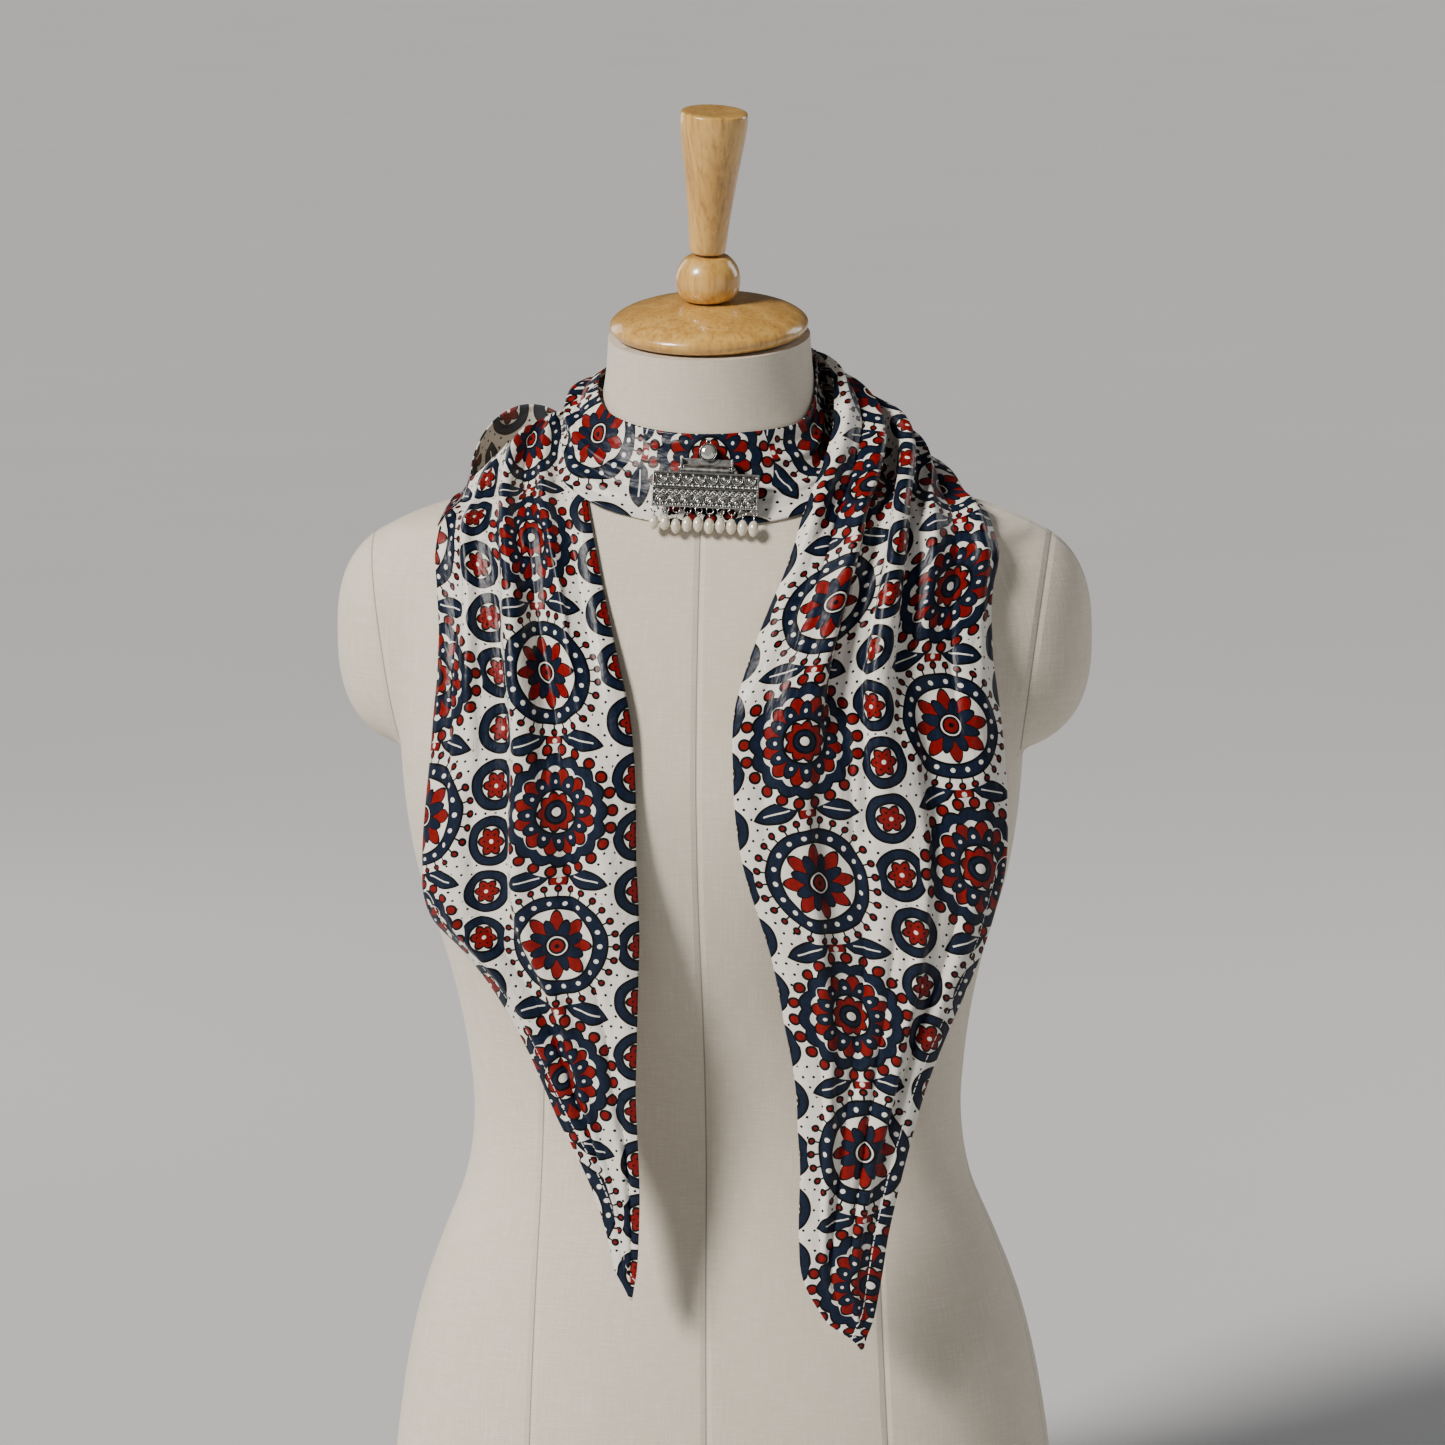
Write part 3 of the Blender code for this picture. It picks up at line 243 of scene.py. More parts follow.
# The loop stands on the shoulder: "in" is its lower edge and "out" its upper one, neck to outer fold.
LOOP_ROWS = (
    (-67, 39, 641, -53, 25, 668, 0, 1, 1),
    (-75, 37, 637, -64, 25, 660, 0, 1, 0.8),
    (-84, 36, 631, -77, 25, 660, 1, 1, 0.1),
    (-95, 34, 624, -88, 24, 668, 1, 1, 0),
    (-107, 30, 618, -101, 22, 671, 2, 1, 0),
    (-119, 22, 614, -113, 18, 667, 2, 1, 0),
    (-129, 8, 611, -122, 9, 658, 2, 0.7, 0),
    (-133, -8, 610, -127, -3, 646, 1, 0.3, 0),
    (-133.5, -27, 609, -127, -15, 635, 1, 0, 0),
)
EDGE_CURL = 4 * MM
EDGE_CURL_WIDE = 0.12
CURL_OVER = 0.1
LEFT_CURL_FROM = 0.16
NO_CURL = 2
STATION_CROWDING = 1.3
LOOP_MEETS_STATION = 5
# Points along and across each stretch's grid
GRIDS = {
    "nape_under": (20, 6),
    "tail_left": (33, 15),
    "shoulder_loop": (16, 7),
    "front_band": (42, 9),
    "nape_over": (22, 6),
    "tail_right": (37, 18),
}

# Brooch, in mm, in its own frame: X along the hinge, Z up along the plate, Y into the cloth
HINGE = Vector((3.4, -75.5, 647.3)) * MM
TURN = math.radians(2.6)
LEAN = math.radians(14.6)
PLATE = {"wide": 55.8, "tall": 18.6, "thick": 1.3, "below": 2.3, "rim": 0.9, "rim_rise": 0.45}
TUBE = {"long": 24.8, "radius": 1.75, "bore": 1.05}
WEB = {"long": 23.8, "thick": 1.1, "tall": 2.2, "y": 0.05, "z": -2.0}
LUG = {"thick": 1.1, "gap": 0.3, "radius": 1.9, "tall": 5.1, "front": 0.9}
JOINED = 0.1
BAR = {"long": 27.2, "tall": 3.4, "thick": 1.6, "above": 1.9, "back": 4.0, "round": 0.22}
PIN_END = {"radius": 1.0, "beyond": 0.4, "narrow": 0.7, "round": 0.75, "long": 1.0}
BEZEL = {"x": 0.2, "above": 8.6, "radius": 4.75, "bore": 4.15, "rim": 0.6, "floor": 1.8, "back": 3.7}
STONE = {
    "radius": 3.85, "table": 2.3, "back": 1.5, "girdle": 0.3, "front": -0.7, "kites": 0.82, "kites_up": 0.56,
    "edge": 0.25, "foot": 0.45,
}
PRONG = {"ring": 1.1, "wire": 0.32, "above": 0.8, "y": 1.9}
EYELET = {"ring": 1.8, "wire": 0.32, "pitch": 5.82, "below": 1.3, "gaps": (32, 24, 24)}
PEARL_EYE = {"ring": 0.95, "wire": 0.25, "turn": 290}
PEARL_STRING_GAP = 0.3
PEARL_POINTED = 0.10
PEARL_CAP = ((0, 0.42), (0.45, 0.38), (0.8, 0.05), (0.75, -0.05), (0, 0.05))
CAP_SUNK = 0.12

# Pearls from the -X end: drop of the middle under the swing's axis, width and height in mm, lean in degrees
PEARLS = (
    (5.6, 5.3, 8.0, 1.5),
    (5.5, 5.4, 7.9, 2),
    (7.0, 5.0, 8.1, -1.5),
    (5.8, 5.3, 8.3, 1),
    (5.6, 5.4, 8.2, -1),
    (6.3, 5.4, 8.3, 1.5),
    (5.7, 5.3, 8.3, 1),
    (6.0, 5.4, 8.4, -1.5),
    (6.4, 5.3, 8.5, 1),
    (6.6, 5.4, 8.5, 1.5),
)

# The plate's embossing in mm. Levels are measured down from its upper edge, and heights from its field.
RELIEF_MAP_WIDE = 100
RELIEF_STEP = 0.2
RIM_SLOPE = 0.25
BOSS = {"in_a_row": 8, "pitch": 6.6, "radius": 1.24, "rise": 0.8, "from_edge": 3.2, "nowhere": 9}
ARCS = {"rings": ((1.85, 0.4), (2.75, 0.42)), "half": 0.3, "from": -0.4}
DROP = {"beyond": 1.3, "radius": 0.55, "rise": 0.4}
RIDGES = {"levels": (6.1, 8.7, 13.1), "half": 0.28, "rise": 0.3}
BRAID = {"level": 10.9, "swing": 1.25, "half": 0.42, "rise": 0.48}

# Rows of diamonds: pitch, shift, level, half width and half height, fullness, flat top and height
DIAMONDS = ((3.3, 0, 7.3, 1.25, 0.95, 1.15, 0.8, 0.42), (3.3, 1.65, 10.9, 0.95, 0.75, 1, 0.75, 0.62))

# Rows of grains: pitch, level, radius and height
GRAINS = ((3.3, 7.3, 0.42, 0.35), (1.32, 17.25, 0.45, 0.32))

# The finer cloth: thickness, how far its inside stands off the solid's inside, and points for each step
CLOTH = 0.75 * MM
CLOTH_RISE = 0.25 * MM
FINER = 5
SETTLE_PASSES = 2
HEM_AT = 7.4
HEM_SOFT = 0.8
STITCH = {"long": 2.6, "gap": 1.1, "wide": 0.42, "soft": 0.2, "deep": -0.4}
UNHEMMED = 0.2

# Small creases, in the same columns as the folds
LEFT_CREASES = (
    (0.00, 0.34, 0.14, 0.12, -3.8, 0.070),
    (0.00, 0.46, 0.26, 0.21, 6.2, 0.080),
    (0.00, 0.56, 0.39, 0.31, -9.5, 0.080),
    (0.00, 0.50, 0.51, 0.45, 5.6, 0.075),
    (0.00, 0.60, 0.65, 0.58, -5.6, 0.060),
    (0.01, 0.44, 0.78, 0.75, 4.4, 0.055),
    (0.02, 0.58, 0.90, 0.87, -3.8, 0.050),
    (0.20, 0.62, 0.17, 0.12, 2.0, 0.060),
    (0.26, 0.76, 0.47, 0.56, 3.6, 0.070),
    (0.34, 0.82, 0.33, 0.22, -3.6, 0.055),
    (0.38, 0.86, 0.76, 0.67, -3.3, 0.055),
    (0.46, 0.78, 0.88, 0.80, 1.8, 0.055),
    (0.52, 0.94, 0.48, 0.58, 1.8, 0.070),
    (0.60, 0.99, 0.16, 0.22, -1.6, 0.070),
    (0.68, 0.99, 0.72, 0.62, -1.3, 0.080),
    (0.74, 1.04, 0.11, 0.36, -1.9, 0.060),
)
RIGHT_CREASES = (
    (0.00, 0.34, 0.08, 0.06, 3.6, 0.060),
    (0.00, 0.42, 0.20, 0.16, -5.0, 0.060),
    (0.00, 0.50, 0.31, 0.29, 5.4, 0.070),
    (0.00, 0.54, 0.41, 0.41, -14.5, 0.080),
    (0.00, 0.52, 0.51, 0.51, 6.8, 0.060),
    (0.02, 0.48, 0.62, 0.60, -8.0, 0.055),
    (0.04, 0.42, 0.72, 0.70, 4.6, 0.055),
    (0.06, 0.50, 0.83, 0.81, -6.5, 0.055),
    (0.08, 0.46, 0.93, 0.93, 2.6, 0.045),
    (0.26, 0.62, 0.12, 0.09, -2.2, 0.050),
    (0.32, 0.78, 0.36, 0.45, -4.4, 0.055),
    (0.36, 0.70, 0.25, 0.22, 2.4, 0.050),
    (0.40, 0.82, 0.62, 0.71, 4.2, 0.055),
    (0.46, 0.86, 0.84, 0.77, -4.0, 0.050),
    (0.52, 0.92, 0.54, 0.59, -3.6, 0.055),
    (0.56, 0.95, 0.20, 0.29, 3.0, 0.060),
    (0.64, 0.97, 0.42, 0.35, -2.8, 0.060),
    (0.72, 0.99, 0.70, 0.62, 1.6, 0.065),
    (0.78, 0.99, 0.86, 0.78, -1.2, 0.060),
)
LOOP_CREASES = (
    (0.02, 0.55, 0.30, 0.24, -1.2, 0.09),
    (0.10, 0.80, 0.62, 0.70, 1.1, 0.10),
    (0.45, 0.98, 0.40, 0.48, 1.0, 0.09),
    (0.00, 0.34, 0.80, 0.74, -1.0, 0.08),
)
BAND_SMALL_CREASES = (
    (-0.06, 0.34, 0.20, 0.32, -2.4, 0.09),
    (-0.06, 0.40, 0.42, 0.52, 2.2, 0.08),
    (-0.04, 0.42, 0.66, 0.66, -2.4, 0.08),
    (0.02, 0.36, 0.86, 0.78, 1.8, 0.07),
    (0.26, 0.50, 0.90, 0.84, -0.8, 0.07),
    (0.62, 1.05, 0.18, 0.16, -1.2, 0.07),
    (0.58, 1.06, 0.34, 0.36, 1.7, 0.08),
    (0.60, 1.04, 0.52, 0.56, -1.8, 0.07),
    (0.56, 1.05, 0.66, 0.74, 1.8, 0.07),
    (0.62, 1.04, 0.86, 0.90, -1.4, 0.06),
    (0.40, 0.60, 0.14, 0.10, 0.5, 0.07),
)
NAPE_SMALL_CREASES = (
    (-0.05, 0.62, 0.18, 0.24, -1.2, 0.08),
    (0.10, 1.05, 0.46, 0.42, 1.3, 0.09),
    (-0.05, 0.56, 0.62, 0.56, -1.1, 0.08),
    (0.40, 1.05, 0.82, 0.78, -1.3, 0.08),
)

# Print: its repeat, leaves, buds and dots in mm, and its inks
REPEAT_WIDE = 92.0
REPEAT_LONG = 148.0
ROUNDEL_PITCH = 29.6
DOT_PITCH = 5.6
DOT_RADIUS = 0.75
OUTLINE = 1.25
INK_SOFT = 0.16
WOBBLE = 0.0024
LEAF_BESIDE = 17.0
LEAF_LONG = 11.5
LEAF_WIDE = 4.6
LEAF_TURN = math.radians(14)
LEAF_VEIN = (0.6, 0.4)
BUD = 4.4
BUD_EYE = 3.0
MOTIF_CLEAR = 2.0
INKS = {
    "ground": (0.80, 0.77, 0.71, 1),
    "ground_back": (0.78, 0.75, 0.69, 1),
    "black": (0.003, 0.003, 0.004, 1),
    "navy_deep": (0.003, 0.005, 0.013, 1),
    "navy_pale": (0.009, 0.019, 0.046, 1),
    "red_deep": (0.11, 0.002, 0.002, 1),
    "red_pale": (0.27, 0.007, 0.006, 1),
}

# Round motifs from the edge inwards: shape, ink, whether it has a black outline, and sizes in mm. A disc has
# its radius; beads have their number, ring and radius; a flower has its petals' number, inner and outer
# radius, and perhaps how pointed they are and how far they are turned; rays have their number, the radius
# for their spacing, their middle, half length and half width.
ROSETTE = (
    ("disc", "ground", False, 35.5),
    ("beads", "red", True, 22, 32.4, 2.1),
    ("flower", "navy", True, 16, 27.0, 29.4),
    ("flower", "ground", False, 16, 22.0, 24.0),
    ("flower", "red", True, 12, 16.5, 22.6, 1.0, math.pi / 12),
    ("flower", "navy", True, 12, 12.0, 19.8, 0.8),
    ("beads", "ground", False, 12, 15.6, 0.95),
    ("disc", "ground", True, 11.0),
    ("flower", "red", True, 9, 8.0, 10.0),
    ("disc", "navy", True, 5.4),
    ("disc", "ground", True, 2.4),
)
STAR_WHEEL = (
    ("disc", "ground", False, 34.5),
    ("rays", "black", False, 28, 30.0, 29.6, 2.4, 0.5),
    ("beads", "red", True, 28, 32.6, 0.9),
    ("disc", "navy", True, 27.4),
    ("beads", "ground", False, 18, 24.0, 1.3),
    ("disc", "ground", True, 20.2),
    ("flower", "red", True, 8, 11.0, 19.0, 1.6),
    ("flower", "navy", True, 8, 7.2, 14.4, 1.4, math.pi / 8),
    ("disc", "ground", True, 5.6),
    ("disc", "red", True, 3.6),
    ("disc", "black", False, 1.3),
)
ROUNDEL = (
    ("disc", "ground", False, 14.4),
    ("disc", "navy", True, 12.4),
    ("disc", "ground", True, 7.6),
    ("flower", "red", True, 6, 4.2, 6.4),
    ("beads", "black", False, 6, 3.8, 0.6),
    ("disc", "ground", False, 1.1),
)

# Camera at the photograph's view
CAMERA = {
    "turn": math.radians(4.5),
    "tilt": math.radians(9.5),
    "roll": math.radians(0.5),
    "distance": 3.0,
    "lens": 138.3,
    "aim": Vector((0.0046, 0, 0.50)),
}

# The stretches, lowest first: creases, what each lies over, the print's place in mm, and its cut in metres.
# A tail also has its tip's place across, the line in mm that its inner edge is straight to, and its hem's
# top.
PRINT_LEVEL = 0.455
GATHER = 0.7
TIP_FROM = 0.243
TIP_LONG = 14 * MM
TIP_NARROW = 0.15
FORM_CLEAR = 0.35 * MM
CLOTH_CLEAR = 0.3 * MM
STRETCHES = {
    "nape_under": {
        "creases": NAPE_SMALL_CREASES, "over": (), "print_at": (30, 10),
        "sheet": {"flat": (0.0385, 0.146), "held": "folded", "rests_on": ["linen_form"]},
    },
    "tail_left": {
        "creases": LEFT_CREASES, "over": (), "print_at": (-46, 20),
        "tail": {"tip_at": 0.1, "straight_to": 40, "hem_below": 420},
        "sheet": {"flat": (0.142, 0.504), "area": 0.046, "held": "draped", "rests_on": ["linen_form"]},
    },
    "shoulder_loop": {
        "creases": LOOP_CREASES, "over": (), "print_at": (0, 40),
        "sheet": {"flat": (0.032, 0.122), "held": "draped", "rests_on": ["linen_form"]},
    },
    "front_band": {
        "creases": BAND_SMALL_CREASES, "over": ("tail_left", "shoulder_loop", "nape_under"),
        "print_at": (-14, 0),
        "sheet": {"flat": (0.043, 0.27), "held": "folded", "rests_on": ["linen_form", "cloth_tail_left"]},
    },
    "nape_over": {
        "creases": NAPE_SMALL_CREASES, "over": ("nape_under", "shoulder_loop"), "print_at": (20, 30),
        "sheet": {"flat": (0.035, 0.138), "held": "folded", "rests_on": ["linen_form", "cloth_nape_under"]},
    },
    "tail_right": {
        "creases": RIGHT_CREASES, "over": ("front_band", "nape_under"), "print_at": (-40, 55),
        "tail": {"tip_at": 0.75, "straight_to": 52.5, "hem_below": 440},
        "sheet": {
            "flat": (0.172, 0.605), "area": 0.068, "held": "draped",
            "rests_on": ["linen_form", "cloth_front_band"],
        },
    },
}

FINE_FORM = (224, 200)
LINEN_RADIUS = 0.155
TWILL = 1.3
WEAVE = 0.42
WOOD_RINGS = 46

# Seams of the linen in mm: where each runs, how it leans, and where it starts or ends
ARMHOLE = {"x": 166, "lean": 0.14, "level": 490, "from": 492}
PRINCESS = {"x": 84, "lean": 0.045, "level": 400, "to": 622}
MIDDLE_TO = 655
SIDE_Y = -3
SEAM = {"half": 0.35, "soft": 0.5, "dark": 0.75, "groove": 3}

# Noises of the materials: scale, detail, roughness, and the stretch of their coordinates or None
NOISES = {
    "wobble": (55, 1.0, 0.5, None),
    "ink": (420, 2.0, 0.5, None),
    "wrinkles": (95, 3.0, 0.55, (1.0, 0.45, 1.0)),
    "threads": (1.0, 2.0, 0.6, (55, 900, 1)),
    "uprights": (1.0, 2.0, 0.6, (900, 45, 1)),
    "linen": (9, 3.0, 0.5, None),
    "rings": (1.0, 1.5, 0.4, (26, 26, 5)),
    "pores": (1.0, 3.0, 0.6, (420, 420, 22)),
    "tarnish": (380, 4.0, 0.65, None),
    "scratches": (1.0, 2.0, 0.5, (900, 900, 5200)),
    "wear": (620, 3.0, 0.6, None),
    "grain": (4200, 2.0, 0.5, None),
    "crystal": (700, 2.0, 0.5, None),
    "pearl": (320, 3.0, 0.6, None),
    "floor": (2.0, 2.0, 0.5, None),
}

# Bumps of the materials: depth in mm and strength
BUMPS = {
    "wrinkles": (2.2, 0.7),
    "weave": (0.008, 0.5),
    "hem": (0.25, 1.0),
    "linen": (0.22, 0.7),
    "seam": (0.7, 1.0),
    "wood": (0.08, 0.35),
    "scratches": (0.03, 0.5),
    "grain": (0.05, 0.5),
    "pearl": (0.12, 0.4),
}

# Patterns that mix two colours: a factor, what is added, and the greatest share of the second colour
LEVELLED = {
    "thread": (4, -0.85, 0.9),
    "twill": (0.5, 0.5, 0.16),
    "rings": (0.5, 0.5, 0.55),
    "pores": (3, -1.35, 0.75),
    "tarnish": (2.4, -0.7, 1),
    "pearl": (2, -0.5, 1),
}
TWILL_RISE = 0.5
WORN = {"high": 2.6, "wear": 0.9, "more": -0.44, "rough": 0.52, "smoother": -0.25}

# Colours, and the slots of the finishes that aren't named after one
THREAD = (0.86, 0.84, 0.80, 1)
LINEN = {
    "pale": (0.78, 0.70, 0.58, 1),
    "deep": (0.66, 0.585, 0.475, 1),
    "thread": (0.84, 0.78, 0.68, 1),
    "shade": (0.48, 0.41, 0.32, 1),
    "seam": (0.16, 0.13, 0.10, 1),
}
WOOD = {"pale": (0.71, 0.415, 0.105, 1), "deep": (0.50, 0.245, 0.046, 1), "pore": (0.27, 0.105, 0.018, 1)}
SILVER = {
    "black": (0.030, 0.030, 0.030, 1),
    "grey": (0.12, 0.12, 0.12, 1),
    "bright": (0.58, 0.575, 0.555, 1),
    "pale": (0.86, 0.84, 0.80, 1),
}
PEARL = {"pale": (0.84, 0.79, 0.66, 1), "deep": (0.66, 0.58, 0.44, 1)}
CRYSTAL = {"deep": (0.62, 0.63, 0.58, 1), "pale": (0.90, 0.91, 0.85, 1)}
FLOOR = {"deep": (0.56, 0.565, 0.575, 1), "pale": (0.59, 0.595, 0.605, 1)}

# Studio: the key's way and softness, the other lights' place, size in metres and power, and the surroundings
KEY = {"from": (-2.1, -2.0, 2.0), "power": 5.0, "colour": (1.0, 0.955, 0.89), "soft": math.radians(15)}
LIGHTS = (
    ("fill", (2.4, -2.2, 1.0), (1.4, 1.4), 4),
    ("rim_right", (1.8, 1.3, 1.5), (0.8, 1.4), 14),
    ("rim_left", (-1.6, 1.6, 1.3), (0.8, 1.4), 9),
)
LIGHTS_AIM = Vector((0, 0, 0.45))
WORLD = {"Color": (0.93, 0.95, 1.0, 1), "Strength": 0.05}
FLOOR_REACH = 60


def spline(knots, values, at):
    """A smooth curve through the values, with slopes from the neighbouring rows."""
    knots, values, at = (np.asarray(field, float) for field in (knots, values, at))
    spread = (1,) * (values.ndim - 1)
    steps = np.diff(knots)
    wide = steps.reshape((-1,) + spread)
    rates = np.diff(values, axis=0) / wide
    inner = (rates[:-1] * wide[1:] + rates[1:] * wide[:-1]) / (wide[:-1] + wide[1:])
    slopes = np.concatenate([rates[:1], inner, rates[-1:]])
    at = np.clip(at, knots[0], knots[-1])
    index = np.clip(np.searchsorted(knots, at, side="right") - 1, 0, len(knots) - 2)
    step = steps[index].reshape(at.shape + spread)
    t = ((at - knots[index]) / steps[index]).reshape(step.shape)
    return (
        values[index] * (1 + 2 * t) * (1 - t) ** 2
        + slopes[index] * step * t * (1 - t) ** 2
        + values[index + 1] * t**2 * (3 - 2 * t)
        + slopes[index + 1] * step * t**2 * (t - 1)
    )


def around(sides):
    """Angles of equal steps round a circle."""
    return np.arange(sides) * 2 * math.pi / sides


def form_points(angle, level):
    """Points of the dress form's surface. The angle runs from the front towards +X; both may be arrays."""
    angle, level = np.broadcast_arrays(np.asarray(angle, float), np.asarray(level, float))
    z_mm = level / MM
    knots, *columns = np.array(FORM_ROWS, float).T
    half, front, back, mid, square = (spline(knots, column, z_mm) for column in columns)
    across = np.sin(angle)
    along = -np.cos(angle)
    deep = np.where(along < 0, front + mid, back - mid)
    body = ((np.abs(across) / half) ** square + (np.abs(along) / deep) ** square) ** (-1 / square)
    bust_x = (np.abs(body * across) - BUST["x"]) / BUST["wide"]
    bust_from = bust_x**2 + ((z_mm - BUST["z"]) / BUST["tall"]) ** 2
    body = body + BUST["rise"] * np.exp(-bust_from) * np.clip(-along, 0, 1)
    share = np.clip(1 - np.abs((z_mm - ARM["z"]) / ARM["tall"]) ** ARM["square"], 0, 1)
    share = share ** (1 / ARM["square"])
    reach = np.maximum(ARM["reach"] * share, TINY)
    thick = np.maximum(ARM["deep"] * share, TINY)
    a = (across / reach) ** 2 + (along / thick) ** 2
    b = -np.abs(across) * ARM["x"] / reach**2 + mid * along / thick**2
    c = (ARM["x"] / reach) ** 2 + (mid / thick) ** 2 - 1
    under = b**2 - a * c
    arm = np.where(under > 0, (np.sqrt(np.maximum(under, 0)) - b) / a, 0)
    radius = 0.5 * (body + arm + np.sqrt((body - arm) ** 2 + ARM["blend"] ** 2))
    radius = np.where(arm > 0, np.maximum(radius, body), body)
    y = (mid + radius * along) * MM
    lean = np.clip((level - NECK_LEAN_FROM) / (NECK_TOP - NECK_LEAN_FROM), 0, 1)
    lean = lean**2 * (3 - 2 * lean)
    z = level + math.tan(NECK_LEAN) * lean * (y - NECK_MIDDLE_Y)
    return np.stack([radius * across * MM, y, z], axis=-1)


def grid_faces(rows, columns, closed=False):
    """Quads over a grid of points listed row by row. A closed grid joins its last column to its first."""
    place = np.arange(rows * columns).reshape(rows, columns)
    if closed:
        place = np.concatenate([place, place[:, :1]], axis=1)
    corners = (place[:-1, :-1], place[:-1, 1:], place[1:, 1:], place[1:, :-1])
    return np.stack(corners, axis=-1).reshape(-1, 4).tolist()


def form_grid(sides, levels):
    """Points and faces of the dress form's surface, without its ends."""
    points = form_points(around(sides)[None, :], levels[:, None])
    return points.reshape(-1, 3), grid_faces(len(levels), sides, closed=True)


def form_levels(count):
    """Levels from the base to the neck, closer together where the surface turns."""
    shares = np.concatenate([[0], np.cumsum(LEVEL_WEIGHTS) / sum(LEVEL_WEIGHTS)])
    return np.interp(np.linspace(0, 1, count), shares, LEVEL_MARKS)


class Surface:
    """An outer surface that cloth lies on, as a search tree of its faces."""

    def __init__(self, points, faces):
        self.tree = BVHTree.FromPolygons([tuple(point) for point in points], faces)

    def foot(self, point):
        """Nearest point of the surface, its outward normal, and the height of the point over it."""
        foot, normal, _, _ = self.tree.find_nearest(Vector(point))
        return foot, normal, (Vector(point) - foot).dot(normal)

    def outermost(self, foot, normal):
        """How far out the surface reaches along a line, or a negative number where it isn't met."""
        hit = self.tree.ray_cast(foot + normal * LAYER_REACH, -normal, LAYER_REACH)
        return LAYER_REACH - hit[3] if hit[0] else -LAYER_REACH


def grid_normals(points, outward):
    """Unit normals of a grid of points, row by column, turned to the side that outward gives."""
    normals = np.cross(np.gradient(points, axis=0), np.gradient(points, axis=1)) * outward
    return normals / np.maximum(np.linalg.norm(normals, axis=2, keepdims=True), SMALLEST)


def blurred(field, passes):
    for _ in range(passes):
        padded = np.pad(field, ((1, 1), (1, 1)) + ((0, 0),) * (field.ndim - 2), mode="edge")
        beside = padded[:-2, 1:-1] + padded[2:, 1:-1] + padded[1:-1, :-2] + padded[1:-1, 2:]
        field = (padded[1:-1, 1:-1] * 4 + beside) / 8
    return field


def doubled(points):
    """The grid with a point between each two neighbours."""
    rows, columns = points.shape[:2]
    fine = np.empty((2 * rows - 1, 2 * columns - 1, 3))
    fine[::2, ::2] = points
    fine[1::2, ::2] = (points[:-1] + points[1:]) / 2
    fine[:, 1::2] = (fine[:, :-2:2] + fine[:, 2::2]) / 2
    return fine


def widened(field):
    """The largest value of each point's neighbourhood."""
    padded = np.pad(field, 1, mode="edge")
    rows, columns = field.shape
    beside = [padded[row:row + rows, column:column + columns] for row, column in np.ndindex(3, 3)]
    return np.max(beside, axis=0)


def lack_and_ways(points, form, form_gap, layers, layer_gap):
    """How much further out each point has to be to clear the form and the layers, and which way is out."""
    lack = np.zeros(points.shape[:2])
    ways = np.zeros(points.shape)
    for index in np.ndindex(lack.shape):
        foot, normal, height = form.foot(points[index])
        wanted = max([form_gap] + [layer.outermost(foot, normal) + layer_gap for layer in layers])
        lack[index] = max(wanted - height, 0)
        ways[index] = normal
    return lack, ways


def lift_clear(points, form, layers):
    """Moves grid points out along the form's normals until their faces clear the form and the layers."""
    for _ in range(LIFT_PASSES):
        lack, ways = lack_and_ways(doubled(points), form, CLOTH_GAP, layers, LAYER_GAP)
        lift = widened(lack)[::2, ::2]
        lift = np.maximum(lift, blurred(lift, 2))
        points = points + ways[::2, ::2] * lift[..., None]
    return points


def settled(points, form, layers):
    """Moves points of a fine grid out where the form or a layer under it is too close."""
    for _ in range(SETTLE_PASSES):
        lack, ways = lack_and_ways(points, form, FORM_CLEAR, layers, CLOTH_CLEAR)
        lift = np.maximum(lack, blurred(widened(lack), 3))
        points = points + ways * lift[..., None]
    return points


def fold_profile(distance):
    return np.where(np.abs(distance) < 1, np.cos(np.clip(distance, -1, 1) * math.pi / 2) ** 2, 0)


def crease_profile(distance):
    """A narrow valley between soft sides."""
    return np.clip(1 - np.abs(distance) / CREASE_SOFT, 0, 1) ** CREASE_SHARP


def folds_of(rows, stations, places, valley=fold_profile):
    """Height of the folds at each station and place across, in metres."""
    total = np.zeros((len(stations), len(places)))
    for start, end, at_start, at_end, rise, wide in rows:
        share = np.clip((stations[:, None] - start) / (end - start), 0, 1)
        ends = np.sin(share * math.pi) ** FOLD_ENDS
        middle = at_start + (at_end - at_start) * share
        profile = fold_profile if rise > 0 else valley
        total += rise * MM * ends * profile((places[None, :] - middle) / wide)
    return total


def edge_curl(places):
    return np.clip(1 - places / EDGE_CURL_WIDE, 0, 1) ** 2


def unit(vectors):
    return vectors / np.linalg.norm(vectors, axis=1, keepdims=True)


def join_edge(points, edge, places):
    """Brings a grid's first row to the edge that it goes on from, and eases the next two rows.

    The edge is its points and its outward normals. The gap is measured square to the edge. Where the cloth
    turns outwards at the seam, the gap is wider by what the two walls need.
    """
    at = np.linspace(0, 1, len(edge[0]))
    target, normals = (
        np.stack([np.interp(places, at, field[:, axis]) for axis in range(3)], axis=1) for field in edge
    )
    along = unit(np.gradient(target, axis=0))
    step = points[3] - points[0]
    step = unit(step - np.sum(step * along, axis=1, keepdims=True) * along)
    turn = np.clip(np.sum(normals * step, axis=1, keepdims=True), 0, 1)
    target = target + (SEAM_GAP + WALL * turn) * step
    points[:3] += (target - points[0])[None] * np.array(SEAM_EASE)[:, None, None]


